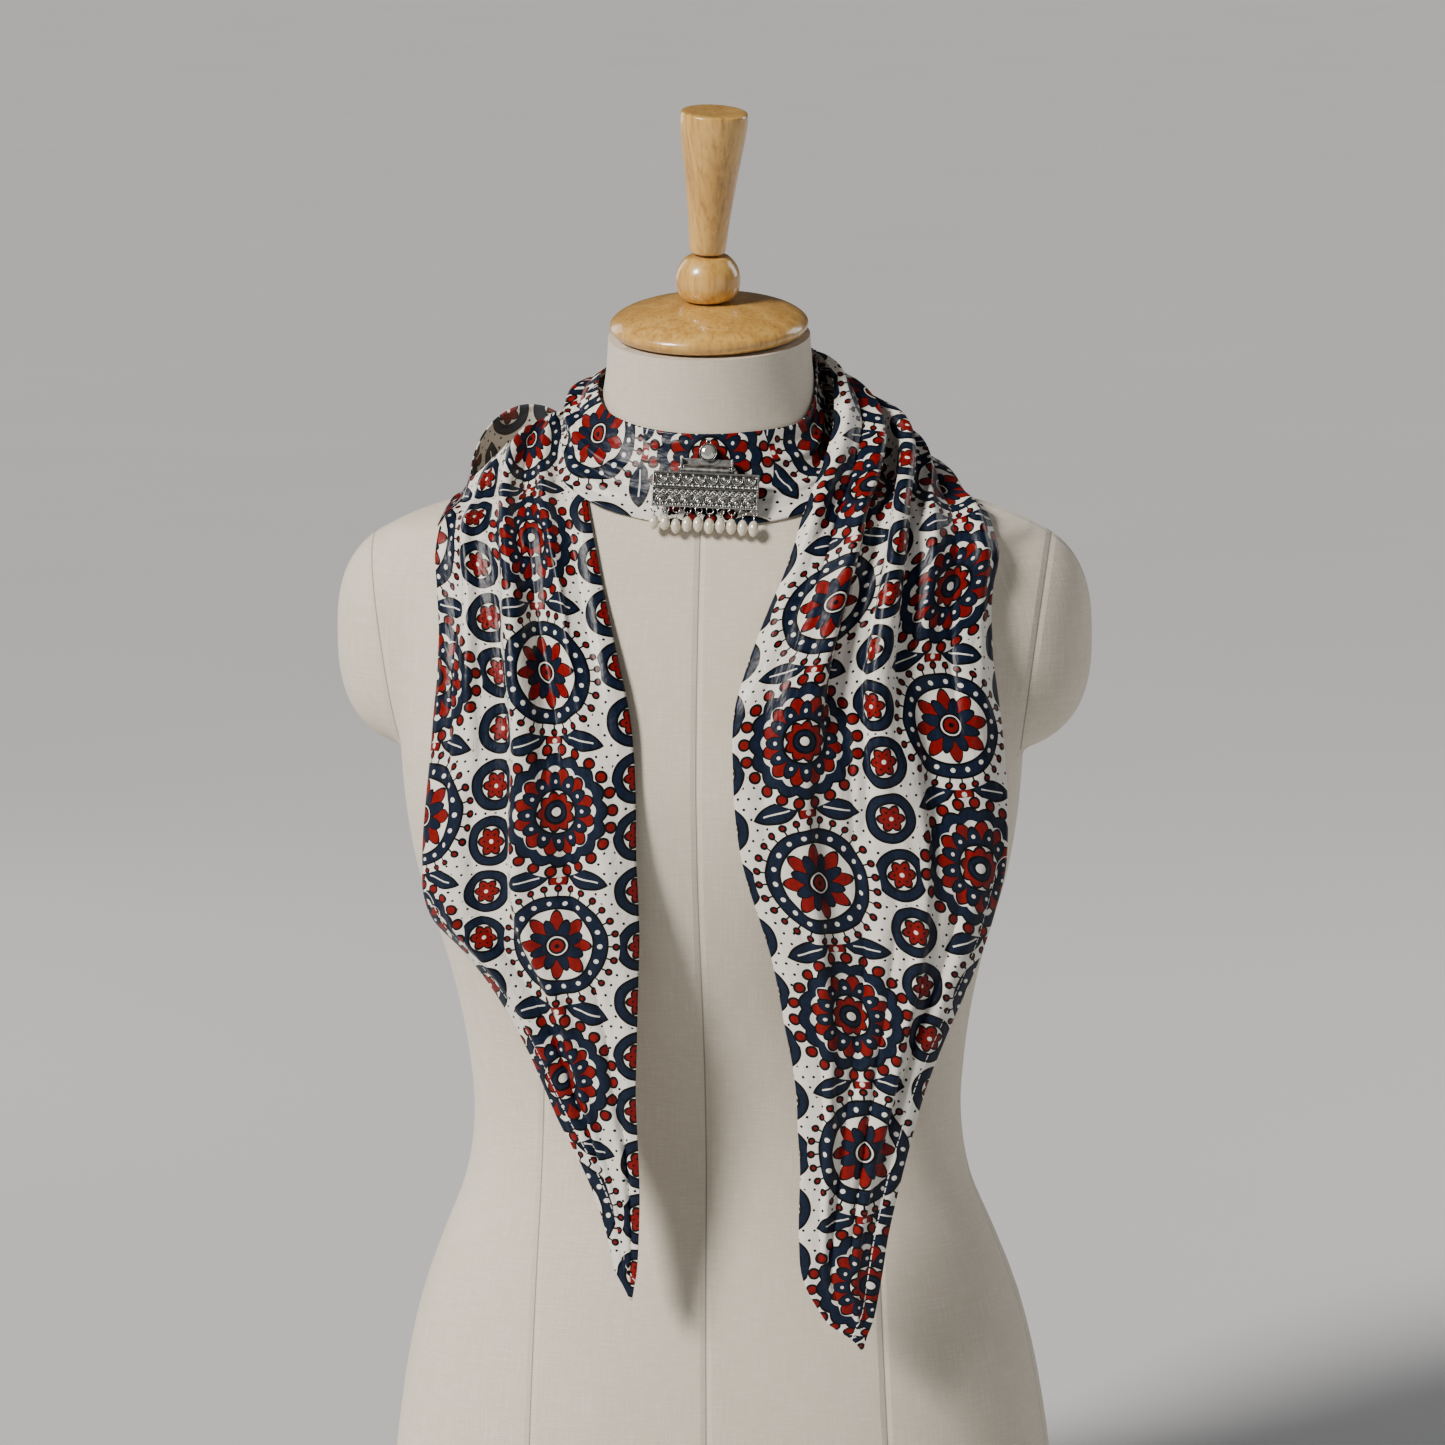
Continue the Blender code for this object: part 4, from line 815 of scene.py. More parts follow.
def ribbon(
    rows, folds, side, form, layers, size, crowding=STATION_CROWDING, curl_from=-1, start=None, end=None
):
    """Grid of points of a hanging stretch: from its rows, settled on the form, with its folds.

    The start and the end are the edges that the stretch goes on from, as points and outward normals.
    """
    rows = np.array(rows, float)
    inner, outer = rows[:, :3] * MM, rows[:, 3:6] * MM
    knots = lengths((inner + outer)[:, None] / 2)[:, 0]
    knots = knots / knots[-1]
    stations = np.linspace(0, 1, size[0]) ** crowding
    places = np.linspace(0, 1, size[1])
    inner, outer, bulge, hug_in, hug_out = (
        spline(knots, column, stations) for column in (inner, outer, rows[:, 6] * MM, rows[:, 7], rows[:, 8])
    )
    points = inner[:, None] + (outer - inner)[:, None] * places[None, :, None]
    crown = 4 * places * (1 - places)
    points = points + grid_normals(points, side) * (bulge[:, None] * crown[None, :])[..., None]
    hug = np.clip(hug_in[:, None] * (1 - places) ** 2 + hug_out[:, None] * places**2, 0, 1)
    for index in np.ndindex(points.shape[:2]):
        foot, normal, height = form.foot(points[index])
        seated = max(CLOTH_GAP, (1 - hug[index]) * height + hug[index] * CLOTH_GAP)
        points[index] = foot + normal * seated
    points = blurred(points, 1) * 0.5 + points * 0.5
    curled = np.clip((stations - curl_from) / CURL_OVER, 0, 1)[:, None]
    edges = edge_curl(places)[None, :] * (curl_from < 1) + edge_curl(1 - places)[None, :] * curled
    offset = folds_of(folds, stations, places) - EDGE_CURL * edges
    share = np.clip(np.linalg.norm(outer - inner, axis=1) / FOLD_FULL_WIDTH, 0, 1) ** 2
    points = points + grid_normals(points, side) * (offset * share[:, None])[..., None]
    if start is not None:
        join_edge(points, start, places)
    if end is not None:
        join_edge(points[::-1], end, places)
    return lift_clear(points, form, layers)


def band_grid(rows, creases, form, layers, size):
    """Grid of points of a stretch that lies round the neck, upper edge first."""
    knots, *columns = np.array(sorted(rows), float).T
    angles = np.linspace(knots[0], knots[-1], size[0])
    top, height, *lifts = (spline(knots, column * MM, angles) for column in columns)
    places = np.linspace(0, 1, size[1])
    points = np.empty((size[0], size[1], 3))
    levels = np.linspace(NECK_TOP, NECK_TOP - BAND_REACH, FINE_LEVELS)
    for row, angle in enumerate(angles):
        meridian = form_points(math.radians(angle), levels)
        length = lengths(meridian[:, None])[:, 0]
        start = np.interp(-top[row], -meridian[:, 2], length)
        wanted = start + places * height[row]
        points[row] = np.stack([np.interp(wanted, length, meridian[:, axis]) for axis in range(3)], axis=1)
    offset = spline((0, BAND_MIDDLE, 1), lifts, places).T + folds_of(creases, angles, places)
    offset = np.maximum(offset, CLOTH_GAP)
    return lift_clear(points + grid_normals(points, -1) * offset[..., None], form, layers)


def with_margin(points):
    """The grid with one more row or column beyond each of its edges."""
    for _ in range(2):
        ends = []
        for edge, inside in ((points[:1], points[1:2]), (points[-1:], points[-2:-1])):
            step = edge - inside
            ends.append(edge + step / np.linalg.norm(step, axis=2, keepdims=True) * LAYER_MARGIN)
        points = np.concatenate([ends[0], points, ends[1]]).transpose(1, 0, 2)
    return points


class Number:
    """A number, vector or colour of a finish, for use in formulas."""

    def __init__(self, finish, socket):
        self.finish = finish
        self.socket = socket

    def calculate(self, operation, *others, clamp=False):
        return self.finish.node("Math", (self, *others), operation=operation, use_clamp=clamp)

    def __add__(self, other):
        return self.calculate("ADD", other)

    def __sub__(self, other):
        return self.calculate("SUBTRACT", other)

    def __mul__(self, other):
        return self.calculate("MULTIPLY", other)

    def __truediv__(self, other):
        return self.calculate("DIVIDE", other)

    def __abs__(self):
        return self.calculate("ABSOLUTE")

    def least(self, other):
        return self.calculate("MINIMUM", other)

    def most(self, other):
        return self.calculate("MAXIMUM", other)

    def clamped(self, factor=1.0):
        return self.calculate("MULTIPLY", factor, clamp=True)

    def wrapped(self, period):
        return self.calculate("WRAP", period / 2, -period / 2)

    def cosine(self):
        return self.calculate("COSINE")

    def levelled(self, name):
        """The pattern as the second colour's share in a mix."""
        factor, more, most = LEVELLED[name]
        return (self * factor + more).clamped(most)

    def inside(self, soft):
        """1 where the number is below zero, 0 above, with a soft step."""
        return self.calculate("MULTIPLY_ADD", -1 / soft, 0.5, clamp=True)


class Finish:
    """A material and its shader, with the nodes that its formulas are made of."""

    def __init__(self, name, **settings):
        self.material = bpy.data.materials.new(name)
        self.material.use_nodes = True
        self.tree = self.material.node_tree
        self.set(**settings)

    def connect(self, value, place):
        """Sets a socket from a number of the finish or from a plain value."""
        if isinstance(value, Number):
            self.tree.links.new(value.socket, place)
        else:
            place.default_value = value

    def set(self, **settings):
        """Sets the shader's sockets, named with underscores for spaces."""
        shader = self.tree.nodes["Principled BSDF"]
        for name, value in settings.items():
            self.connect(value, shader.inputs[name.replace("_", " ")])

    def node(self, kind, inputs=(), output=0, **settings):
        """A node's output, with its settings, and its inputs by place or by name."""
        node = self.tree.nodes.new("ShaderNode" + kind)
        for name, value in settings.items():
            setattr(node, name, value)
        for place, value in inputs.items() if isinstance(inputs, dict) else enumerate(inputs):
            self.connect(value, node.inputs[place])
        return Number(self, node.outputs[output])

    def noise(self, vector, name, output=0):
        scale, detail, roughness, stretch = NOISES[name]
        if stretch:
            vector = self.node("Mapping", {"Vector": vector, "Scale": stretch})
        inputs = {"Vector": vector, "Scale": scale, "Detail": detail, "Roughness": roughness}
        return self.node("TexNoise", inputs, output)

    def split(self, vector, factor=1000):
        """The vector's parts, in mm."""
        parts = self.node("SeparateXYZ", (vector,)).socket.node.outputs
        return [Number(self, socket) * factor for socket in parts]

    def mix(self, factor, first, second):
        """A colour between two colours."""
        return self.node("Mix", {0: factor, 6: first, 7: second}, 2, data_type="RGBA")

    def uv(self, name):
        return self.node("UVMap", uv_map=name)

    def place(self):
        """Coordinates in the object's own frame, in metres."""
        return self.node("TexCoord", output="Object")

    def bump(self, height, name, under=None):
        deep, strength = BUMPS[name]
        inputs = {"Distance": deep * MM, "Strength": strength, "Height": height}
        if under:
            inputs["Normal"] = under
        return self.node("Bump", inputs)


def longer(across, along):
    """Length of the vector with these two parts."""
    return (across * across + along * along).calculate("SQRT")


def disc(radius, angle, size):
    return radius - size


def beads(radius, angle, count, ring, size):
    across = angle.wrapped(2 * math.pi / count) * ring
    return longer(across, radius - ring) - size


def flower(radius, angle, count, inner, outer, power=1.0, turn=0.0):
    """Distance to the edge of a flower with this many rounded petals."""
    turned_angle = angle + turn if turn else angle
    share = abs((turned_angle * (count / 2)).cosine()).calculate("POWER", power)
    return radius - (share * (outer - inner) + inner)


def rays(radius, angle, count, ring, middle, long, wide):
    beside = abs(angle.wrapped(2 * math.pi / count) * ring)
    return beside.most(abs(radius - middle) - long) - wide


MOTIF_SHAPES = {"disc": disc, "beads": beads, "flower": flower, "rays": rays}


class Picture:
    """The printed picture, painted layer by layer on the ground colour."""

    def __init__(self, finish, inks):
        self.finish = finish
        self.inks = inks
        self.colour = inks["ground"]

    def paint(self, distance, ink, outlined=False):
        """Paints where the distance to a shape's edge is below zero, with a black line round it or none."""
        if outlined:
            self.paint(distance - OUTLINE, "black")
        self.colour = self.finish.mix(distance.inside(INK_SOFT), self.colour, self.inks[ink])

    def paint_motif(self, across, along, rows):
        radius = longer(across, along)
        angle = along.calculate("ARCTAN2", across)
        for shape, ink, outlined, *sizes in rows:
            self.paint(MOTIF_SHAPES[shape](radius, angle, *sizes), ink, outlined)


def paint_print(finish, cloth, fade):
    """The scarf's printed colour at the flat cloth's coordinates, in metres. Fade pales the inks."""
    patchy = finish.noise(cloth, "ink")
    picture = Picture(finish, {
        "ground": finish.mix(fade, INKS["ground"], INKS["ground_back"]),
        "black": INKS["black"],
        "navy": finish.mix(patchy, INKS["navy_deep"], INKS["navy_pale"]),
        "red": finish.mix(patchy, INKS["red_deep"], INKS["red_pale"]),
    })
    wobble = finish.noise(cloth, "wobble", "Color")
    drift = finish.node("VectorMath", (wobble, (WOBBLE, WOBBLE, 0), cloth), operation="MULTIPLY_ADD")
    across, along, _ = finish.split(drift)
    row = (along / DOT_PITCH).calculate("ROUND")
    shifted = across + row.calculate("MODULO", 2.0) * (DOT_PITCH / 2)
    dot = longer(shifted.wrapped(DOT_PITCH), along.wrapped(DOT_PITCH))
    picture.paint(dot - DOT_RADIUS, "black")
    centred = across.wrapped(REPEAT_WIDE)
    leaf_x = abs(centred) - LEAF_BESIDE
    leaf_y = (along + REPEAT_LONG / 4).wrapped(REPEAT_LONG / 2)
    tilt_x = leaf_x * math.cos(LEAF_TURN) + leaf_y * math.sin(LEAF_TURN)
    tilt_y = leaf_y * math.cos(LEAF_TURN) - leaf_x * math.sin(LEAF_TURN)
    bow = (LEAF_LONG**2 + LEAF_WIDE**2) / (2 * LEAF_WIDE)
    leaf = longer(tilt_x, abs(tilt_y) + (bow - LEAF_WIDE)) - bow
    vein = abs(tilt_y).most(abs(tilt_x) - LEAF_LONG * LEAF_VEIN[0]) - LEAF_VEIN[1]
    bud = longer(centred, leaf_y) - BUD
    picture.paint(leaf.least(bud) - MOTIF_CLEAR, "ground")
    picture.paint(leaf, "navy", True)
    picture.paint(vein, "ground")
    picture.paint(bud, "red", True)
    picture.paint(bud + BUD_EYE, "ground")
    side = (across + REPEAT_WIDE / 2).wrapped(REPEAT_WIDE)
    picture.paint_motif(side, (along + ROUNDEL_PITCH / 2).wrapped(ROUNDEL_PITCH), ROUNDEL)
    column = (across / REPEAT_WIDE).calculate("ROUND")
    drop = along + column.calculate("MODULO", 2.0) * (REPEAT_LONG / 2)
    picture.paint_motif(centred, drop.wrapped(REPEAT_LONG), ROSETTE)
    picture.paint_motif(centred, (drop + REPEAT_LONG / 2).wrapped(REPEAT_LONG), STAR_WHEEL)
    return finish.mix(fade, picture.colour, INKS["ground_back"])


def printed_cloth(name, fade):
    """Printed satin: inks, fine weave, soft small wrinkles, and the hem's step and stitches."""
    made = Finish(name, Roughness=0.33, Sheen_Weight=0.02, Sheen_Roughness=0.3, Specular_IOR_Level=0.2)
    cloth = made.uv("cloth")
    away, along, _ = made.split(made.uv("hem"))
    beyond = abs(along.wrapped(STITCH["long"] + STITCH["gap"])) - (STITCH["long"] - STITCH["wide"]) / 2
    stitch = abs(away - HEM_AT).most(beyond)
    stitched = (stitch - STITCH["wide"] / 2).inside(STITCH["soft"])
    across, down, _ = made.split(cloth)
    weave = (across * (2 * math.pi / WEAVE)).cosine() + (down * (2 * math.pi / WEAVE)).cosine()
    under = made.bump(made.noise(cloth, "wrinkles"), "wrinkles")
    under = made.bump(weave, "weave", under)
    hem = (away - HEM_AT).inside(HEM_SOFT) + stitched * STITCH["deep"]
    colour = made.mix(stitched, paint_print(made, cloth, fade), THREAD)
    made.set(Base_Color=colour, Normal=made.bump(hem, "hem", under))
    return made.material


def seams(finish):
    """Distance to the nearest of the linen's seams, in mm."""
    x, y, z = finish.split(finish.place())
    side = abs(x)
    armhole = abs(side - ((z - ARMHOLE["level"]) * ARMHOLE["lean"] + ARMHOLE["x"]))
    princess = abs(side - (abs(z - PRINCESS["level"]) * PRINCESS["lean"] + PRINCESS["x"]))
    lines = (princess.most(z - PRINCESS["to"]), side.most(z - MIDDLE_TO), abs(y - SIDE_Y))
    nearest = armhole.most((z - ARMHOLE["from"]) * -1)
    for line in lines:
        nearest = nearest.least(line)
    return nearest


def linen():
    """Beige linen with a fine twill, thick threads here and there, and sunk seams."""
    made = Finish("linen", Roughness=0.86, Sheen_Weight=0.12, Sheen_Roughness=0.5)
    cloth = made.uv("linen")
    across, up, _ = made.split(cloth)
    twill = ((across + up) * (2 * math.pi / TWILL)).cosine()
    threads = made.noise(cloth, "threads")
    uprights = made.noise(cloth, "uprights")
    seam = seams(made)
    colour = made.mix(made.noise(cloth, "linen"), LINEN["pale"], LINEN["deep"])
    colour = made.mix((threads * uprights).levelled("thread"), colour, LINEN["thread"])
    colour = made.mix(twill.levelled("twill"), colour, LINEN["shade"])
    colour = made.mix((seam - SEAM["half"]).inside(SEAM["soft"]) * SEAM["dark"], colour, LINEN["seam"])
    under = made.bump(twill * TWILL_RISE + threads + uprights, "linen")
    made.set(Base_Color=colour, Normal=made.bump((seam / SEAM["groove"]).least(1), "seam", under))
    return made.material


def wood():
    """Honey lacquer over turned wood with its grain along the turning."""
    made = Finish("wood", Roughness=0.32, Coat_Weight=0.75, Coat_Roughness=0.1)
    place = made.place()
    lines = (made.noise(place, "rings") * WOOD_RINGS).calculate("SINE")
    pores = made.noise(place, "pores")
    colour = made.mix(lines.levelled("rings"), WOOD["pale"], WOOD["deep"])
    colour = made.mix(pores.levelled("pores"), colour, WOOD["pore"])
    made.set(Base_Color=colour, Normal=made.bump(pores, "wood"))
    return made.material


def silver(name, roughness, bright):
    """Worn silver: tarnish in soft clouds, and fine scratches."""
    made = Finish(name, Roughness=roughness, Metallic=1.0)
    place = made.place()
    clean = made.noise(place, "tarnish").levelled("tarnish")
    scratches = made.bump(made.noise(place, "scratches"), "scratches")
    made.set(Base_Color=made.mix(clean, SILVER["grey"], bright), Normal=scratches)
    return made.material


def silver_relief():
    """Embossed silver, black in its hollows and bright on its worn tops."""
    made = Finish("silver_relief", Roughness=0.34, Metallic=1.0)
    high, _, _ = made.split(made.uv("relief"), 1)
    place = made.place()
    worn = high * WORN["high"] + made.noise(place, "wear") * WORN["wear"]
    worn = (worn + WORN["more"]).clamped()
    grain = made.bump(made.noise(place, "grain"), "grain")
    colour = made.mix(worn, SILVER["black"], SILVER["bright"])
    made.set(Base_Color=colour, Roughness=worn * WORN["smoother"] + WORN["rough"], Normal=grain)
    return made.material


def crystal():
    """Clear cut stone over a dull foil."""
    made = Finish("crystal", Roughness=0.06, Metallic=0.72, Coat_Weight=1.0, Coat_Roughness=0.02)
    clouds = made.noise(made.place(), "crystal")
    made.set(Base_Color=made.mix(clouds, CRYSTAL["deep"], CRYSTAL["pale"]))
    return made.material


def pearl():
    """Creamy pearl with a soft lustre."""
    made = Finish("pearl", Roughness=0.22, Metallic=0.12, Coat_Weight=1.0, Coat_Roughness=0.05)
    clouds = made.noise(made.place(), "pearl")
    colour = made.mix(clouds.levelled("pearl"), PEARL["pale"], PEARL["deep"])
    made.set(Subsurface_Weight=0.15, Subsurface_Radius=(0.0012, 0.001, 0.0008))
    made.set(Base_Color=colour, Normal=made.bump(clouds, "pearl"))
    return made.material


def add_object(name, data):
    obj = bpy.data.objects.new(name, data)
    bpy.context.scene.collection.objects.link(obj)
    return obj


def add_piece(name, mesh, finish, body, *nodes):
    """A piece of the dressed part: it rides on a body and stands for the nodes."""
    obj = add_object(name, mesh)
    mesh.materials.append(MATERIALS[finish])
    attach(obj, body)
    if nodes:
        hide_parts(*nodes)
    return obj


def add_map(mesh, name, values):
    """Flat coordinates for the mesh, from two numbers for each of its points."""
    corners = np.empty(len(mesh.loops), dtype=np.int32)
    mesh.loops.foreach_get("vertex_index", corners)
    layer = mesh.uv_layers.new(name=name)
    layer.data.foreach_set("uv", values.reshape(-1, 2)[corners].ravel())


class Shape:
    """Points and faces of one piece, in mm in its own frame, gathered from several forms."""

    def __init__(self, *forms):
        self.points = []
        self.faces = []
        for points, faces in forms:
            start = len(self.points)
            self.points.extend(tuple(point) for point in points)
            self.faces.extend(tuple(corner + start for corner in face) for face in faces)

    def mesh(self, name, placing, sharp=40):
        """A smooth mesh with the normals outwards, placed by a matrix; edges past the angle stay sharp."""
        mesh = bpy.data.meshes.new(name)
        mesh.from_pydata(self.points, [], self.faces)
        shape = bmesh.new()
        shape.from_mesh(mesh)
        bmesh.ops.remove_doubles(shape, verts=shape.verts, dist=MERGED)
        bmesh.ops.recalc_face_normals(shape, faces=shape.faces)
        shape.to_mesh(mesh)
        shape.free()
        mesh.transform(placing @ Matrix.Diagonal((MM, MM, MM, 1)))
        mesh.shade_smooth()
        mesh.set_sharp_from_angle(angle=math.radians(sharp))
        return mesh

    def piece(self, name, placing, finish, body, *nodes, sharp=40):
        return add_piece(name, self.mesh(name, placing, sharp), finish, body, *nodes)


def cut_corners(rows, reach):
    """The line with each inner corner cut off, no further along a side than the reach."""
    made = [rows[0]]
    for before, corner, after in zip(rows, rows[1:], rows[2:]):
        for other in (before, after):
            step = other - corner
            length = np.linalg.norm(step)
            made.append(corner + step / length * min(length / 4, reach))
    return np.array(made + [rows[-1]])


def turned(profile, reach, sides=96, tilt=Matrix()):
    """Points and faces turned from (radius, height) rows, with the corners rounded."""
    rows = np.array(profile, float)
    for step in range(4):
        rows = cut_corners(rows, reach / 2**step)
    turns = around(sides)
    return [
        tilt @ Vector((radius * math.cos(turn), radius * math.sin(turn), height))
        for radius, height in rows for turn in turns
    ], grid_faces(len(rows), sides, closed=True)


def wire(path, radius, facing, sides=12):
    """Points and faces of a round wire with round ends, along a flat path whose plane faces one way."""
    path, facing = np.array(path, float), np.array(facing, float)
    tangents = unit(np.gradient(path, axis=0))
    turns = around(sides)[None, :, None]
    ring = np.cross(tangents, facing)[:, None] * np.cos(turns) + facing * np.sin(turns)
    caps = [
        [
            path[end] + tangents[end] * way * radius * math.sin(turn) + ring[end] * radius * math.cos(turn)
            for turn in np.radians((90, 60, 30))
        ]
        for end, way in ((0, -1), (-1, 1))
    ]
    points = np.concatenate([caps[0], path[:, None] + ring * radius, caps[1][::-1]])
    return points.reshape(-1, 3), grid_faces(len(points), sides, closed=True)


def arc(radius, start, end, count, centre, across, up):
    """Points of an arc in mm from a start to an end angle in degrees, measured from the way that is up."""
    across, up = np.array(across, float), np.array(up, float)
    turns = np.radians(np.linspace(start, end, count))
    return [np.array(centre) + radius * (math.sin(turn) * across + math.cos(turn) * up) for turn in turns]


def block(size, centre):
    """Points and faces of a box in mm."""
    shape = bmesh.new()
    bmesh.ops.create_cube(shape, size=1)
    points = [Vector(centre) + Vector(a * b for a, b in zip(vert.co, size)) for vert in shape.verts]
    faces = [tuple(vert.index for vert in face.verts) for face in shape.faces]
    shape.free()
    return points, faces


def build_linen_form():
    sides, count = FINE_FORM
    points, faces = form_grid(sides, form_levels(count))
    ends = [range(sides - 1, -1, -1), range((count - 1) * sides, count * sides)]
    mesh = Shape((points / MM, faces + ends)).mesh("linen_form", Matrix(), sharp=60)
    x, y, z = np.array([vert.co for vert in mesh.vertices]).T
    add_map(mesh, "linen", np.stack([np.arctan2(x, -y) * LINEN_RADIUS, z], axis=1))
    add_piece("linen_form", mesh, "linen", ROOT, "dress_form")


def build_wood():
    seat = Matrix.Translation((0, NECK_MIDDLE_Y, NECK_TOP)) @ Matrix.Rotation(NECK_LEAN, 4, "X")
    disc_at = seat @ Matrix.Translation((0, 0, SEAT_GAP))
    foot = Matrix.Translation((0, 0, HANDLE_PROFILE[-1][1] * MM))
    leaning = disc_at @ foot @ Matrix.Rotation(HANDLE_LEAN, 4, "Y") @ foot.inverted()
    for name, node, profile, placing, reach in (
        ("wood_disc", "neck_disc", DISC_PROFILE, disc_at, 3),
        ("wood_ball", "finial_ball", BALL_PROFILE, disc_at, 3),
        ("wood_handle", "finial_handle", HANDLE_PROFILE, leaning, 1.5),
    ):
        Shape(turned(profile, reach)).piece(name, placing, "wood", ROOT, node, sharp=60)


def dome(distance, radius, rise):
    """Height of a round dome where the distance is less than its radius."""
    return rise * np.sqrt(np.clip(1 - (distance / radius) ** 2, 0, 1))


def ridge(distance, half, rise):
    """Height of a rounded ridge along a line."""
    return rise * np.clip(1 - (distance / half) ** 2, 0, 1)


def repeated(x, pitch, shift=0.0):
    """Distance along X from the nearest of a row of places."""
    return (x - shift + pitch / 2) % pitch - pitch / 2


def relief(x, down):
    """Height of the plate's embossing over its field, in mm, at points in mm from its middle and its top."""
    raised = [np.zeros(x.shape)]
    pitch = BOSS["pitch"]
    in_row = np.abs(x) < pitch * BOSS["in_a_row"] / 2
    boss_x = np.where(in_row, repeated(x, pitch, pitch / 2), BOSS["nowhere"])
    for level, way in ((BOSS["from_edge"], 1), (PLATE["tall"] - BOSS["from_edge"], -1)):
        away = np.hypot(boss_x, down - level)
        raised.append(dome(away, BOSS["radius"], BOSS["rise"]))
        for ring, rise in ARCS["rings"]:
            arcs = ridge(away - ring, ARCS["half"], rise)
            raised.append(np.where((down - level) * way > ARCS["from"], arcs, 0))
        between = np.hypot(repeated(x, pitch), down - level + DROP["beyond"] * way)
        raised.append(dome(between, DROP["radius"], DROP["rise"]))
    for diamond_pitch, shift, level, wide, tall, full, most, rise in DIAMONDS:
        away = np.abs(repeated(x, diamond_pitch, shift)) / wide + np.abs(down - level) / tall
        raised.append(rise * np.clip(full - away, 0, most))
    for grain_pitch, level, radius, rise in GRAINS:
        away = np.hypot(repeated(x, grain_pitch, grain_pitch / 2), down - level)
        raised.append(dome(away, radius, rise))
    for level in RIDGES["levels"]:
        raised.append(ridge(down - level, RIDGES["half"], RIDGES["rise"]))
    wave = 2 * math.pi / pitch
    slope = np.hypot(1, BRAID["swing"] * wave * np.cos(wave * x))
    for way in (1, -1):
        strand = down - BRAID["level"] - way * BRAID["swing"] * np.sin(wave * x)
        raised.append(ridge(strand / slope, BRAID["half"], BRAID["rise"]))
    edge = np.minimum(PLATE["wide"] / 2 - np.abs(x), np.minimum(down, PLATE["tall"] - down))
    rim = np.clip((PLATE["rim"] - edge) / RIM_SLOPE, 0, 1) * PLATE["rim_rise"]
    rounding = RIM_SLOPE * np.clip(1 - edge / RIM_SLOPE, 0, 1) ** 2
    return np.where(edge < PLATE["rim"], rim - rounding, np.max(raised, axis=0))


def embossed_plate():
    """Points and faces of the plate: its embossed front, and its flat back and sides."""
    across = np.linspace(-PLATE["wide"] / 2, PLATE["wide"] / 2, round(PLATE["wide"] / RELIEF_STEP) + 1)
    levels = np.linspace(0, PLATE["tall"], round(PLATE["tall"] / RELIEF_STEP) + 1)
    x, down = np.meshgrid(across, levels)
    front = np.stack([x, -PLATE["thick"] / 2 - relief(x, down), -PLATE["below"] - down], axis=2)
    points = np.pad(front, ((1, 1), (1, 1), (0, 0)), mode="edge")
    points[[0, -1], :, 1] = PLATE["thick"] / 2
    points[:, [0, -1], 1] = PLATE["thick"] / 2
    rows, columns = points.shape[:2]
    place = np.arange(rows * columns).reshape(rows, columns)
    back = [*place[0, 1:-1], *place[2:-1, -1], *place[-1, -3:0:-1], *place[-3:1:-1, 0]]
    return points.reshape(-1, 3), grid_faces(rows, columns) + [back]


def build_plate(brooch):
    mesh = Shape(embossed_plate()).mesh("plate_relief", Matrix(), sharp=50)
    x, y, _ = np.array([vert.co for vert in mesh.vertices]).T / MM
    high = np.clip((-PLATE["thick"] / 2 - y) / BOSS["rise"], 0, 1)
    add_map(mesh, "relief", np.stack([high, x / RELIEF_MAP_WIDE], axis=1))
    mesh.transform(brooch)
    add_piece("plate_relief", mesh, "silver_relief", "plate", "brooch_plate")
    half, bore, radius = TUBE["long"] / 2, TUBE["bore"], TUBE["radius"]
    profile = ((bore, -half), (radius, -half), (radius, half), (bore, half), (bore, -half))
    tube = turned(profile, reach=0.2, sides=48, tilt=Matrix.Rotation(math.radians(90), 4, "Y"))
    web = block((WEB["long"], WEB["thick"], WEB["tall"]), (0, WEB["y"], WEB["z"]))
    Shape(tube, web).piece("plate_tube", brooch, "silver", "plate")
    loops = []
    middle = -PLATE["below"] - PLATE["tall"] - EYELET["below"]
    for number, x in enumerate(pearl_places()):
        gap = EYELET["gaps"][number % 3]
        path = arc(EYELET["ring"], gap, 360 - gap / 2, 30, (x, 0, middle), (1, 0, 0), (0, 0, 1))
        loops.append(wire(path, EYELET["wire"], (0, 1, 0)))
    Shape(*loops).piece("plate_eyelets", brooch, "silver", "plate")


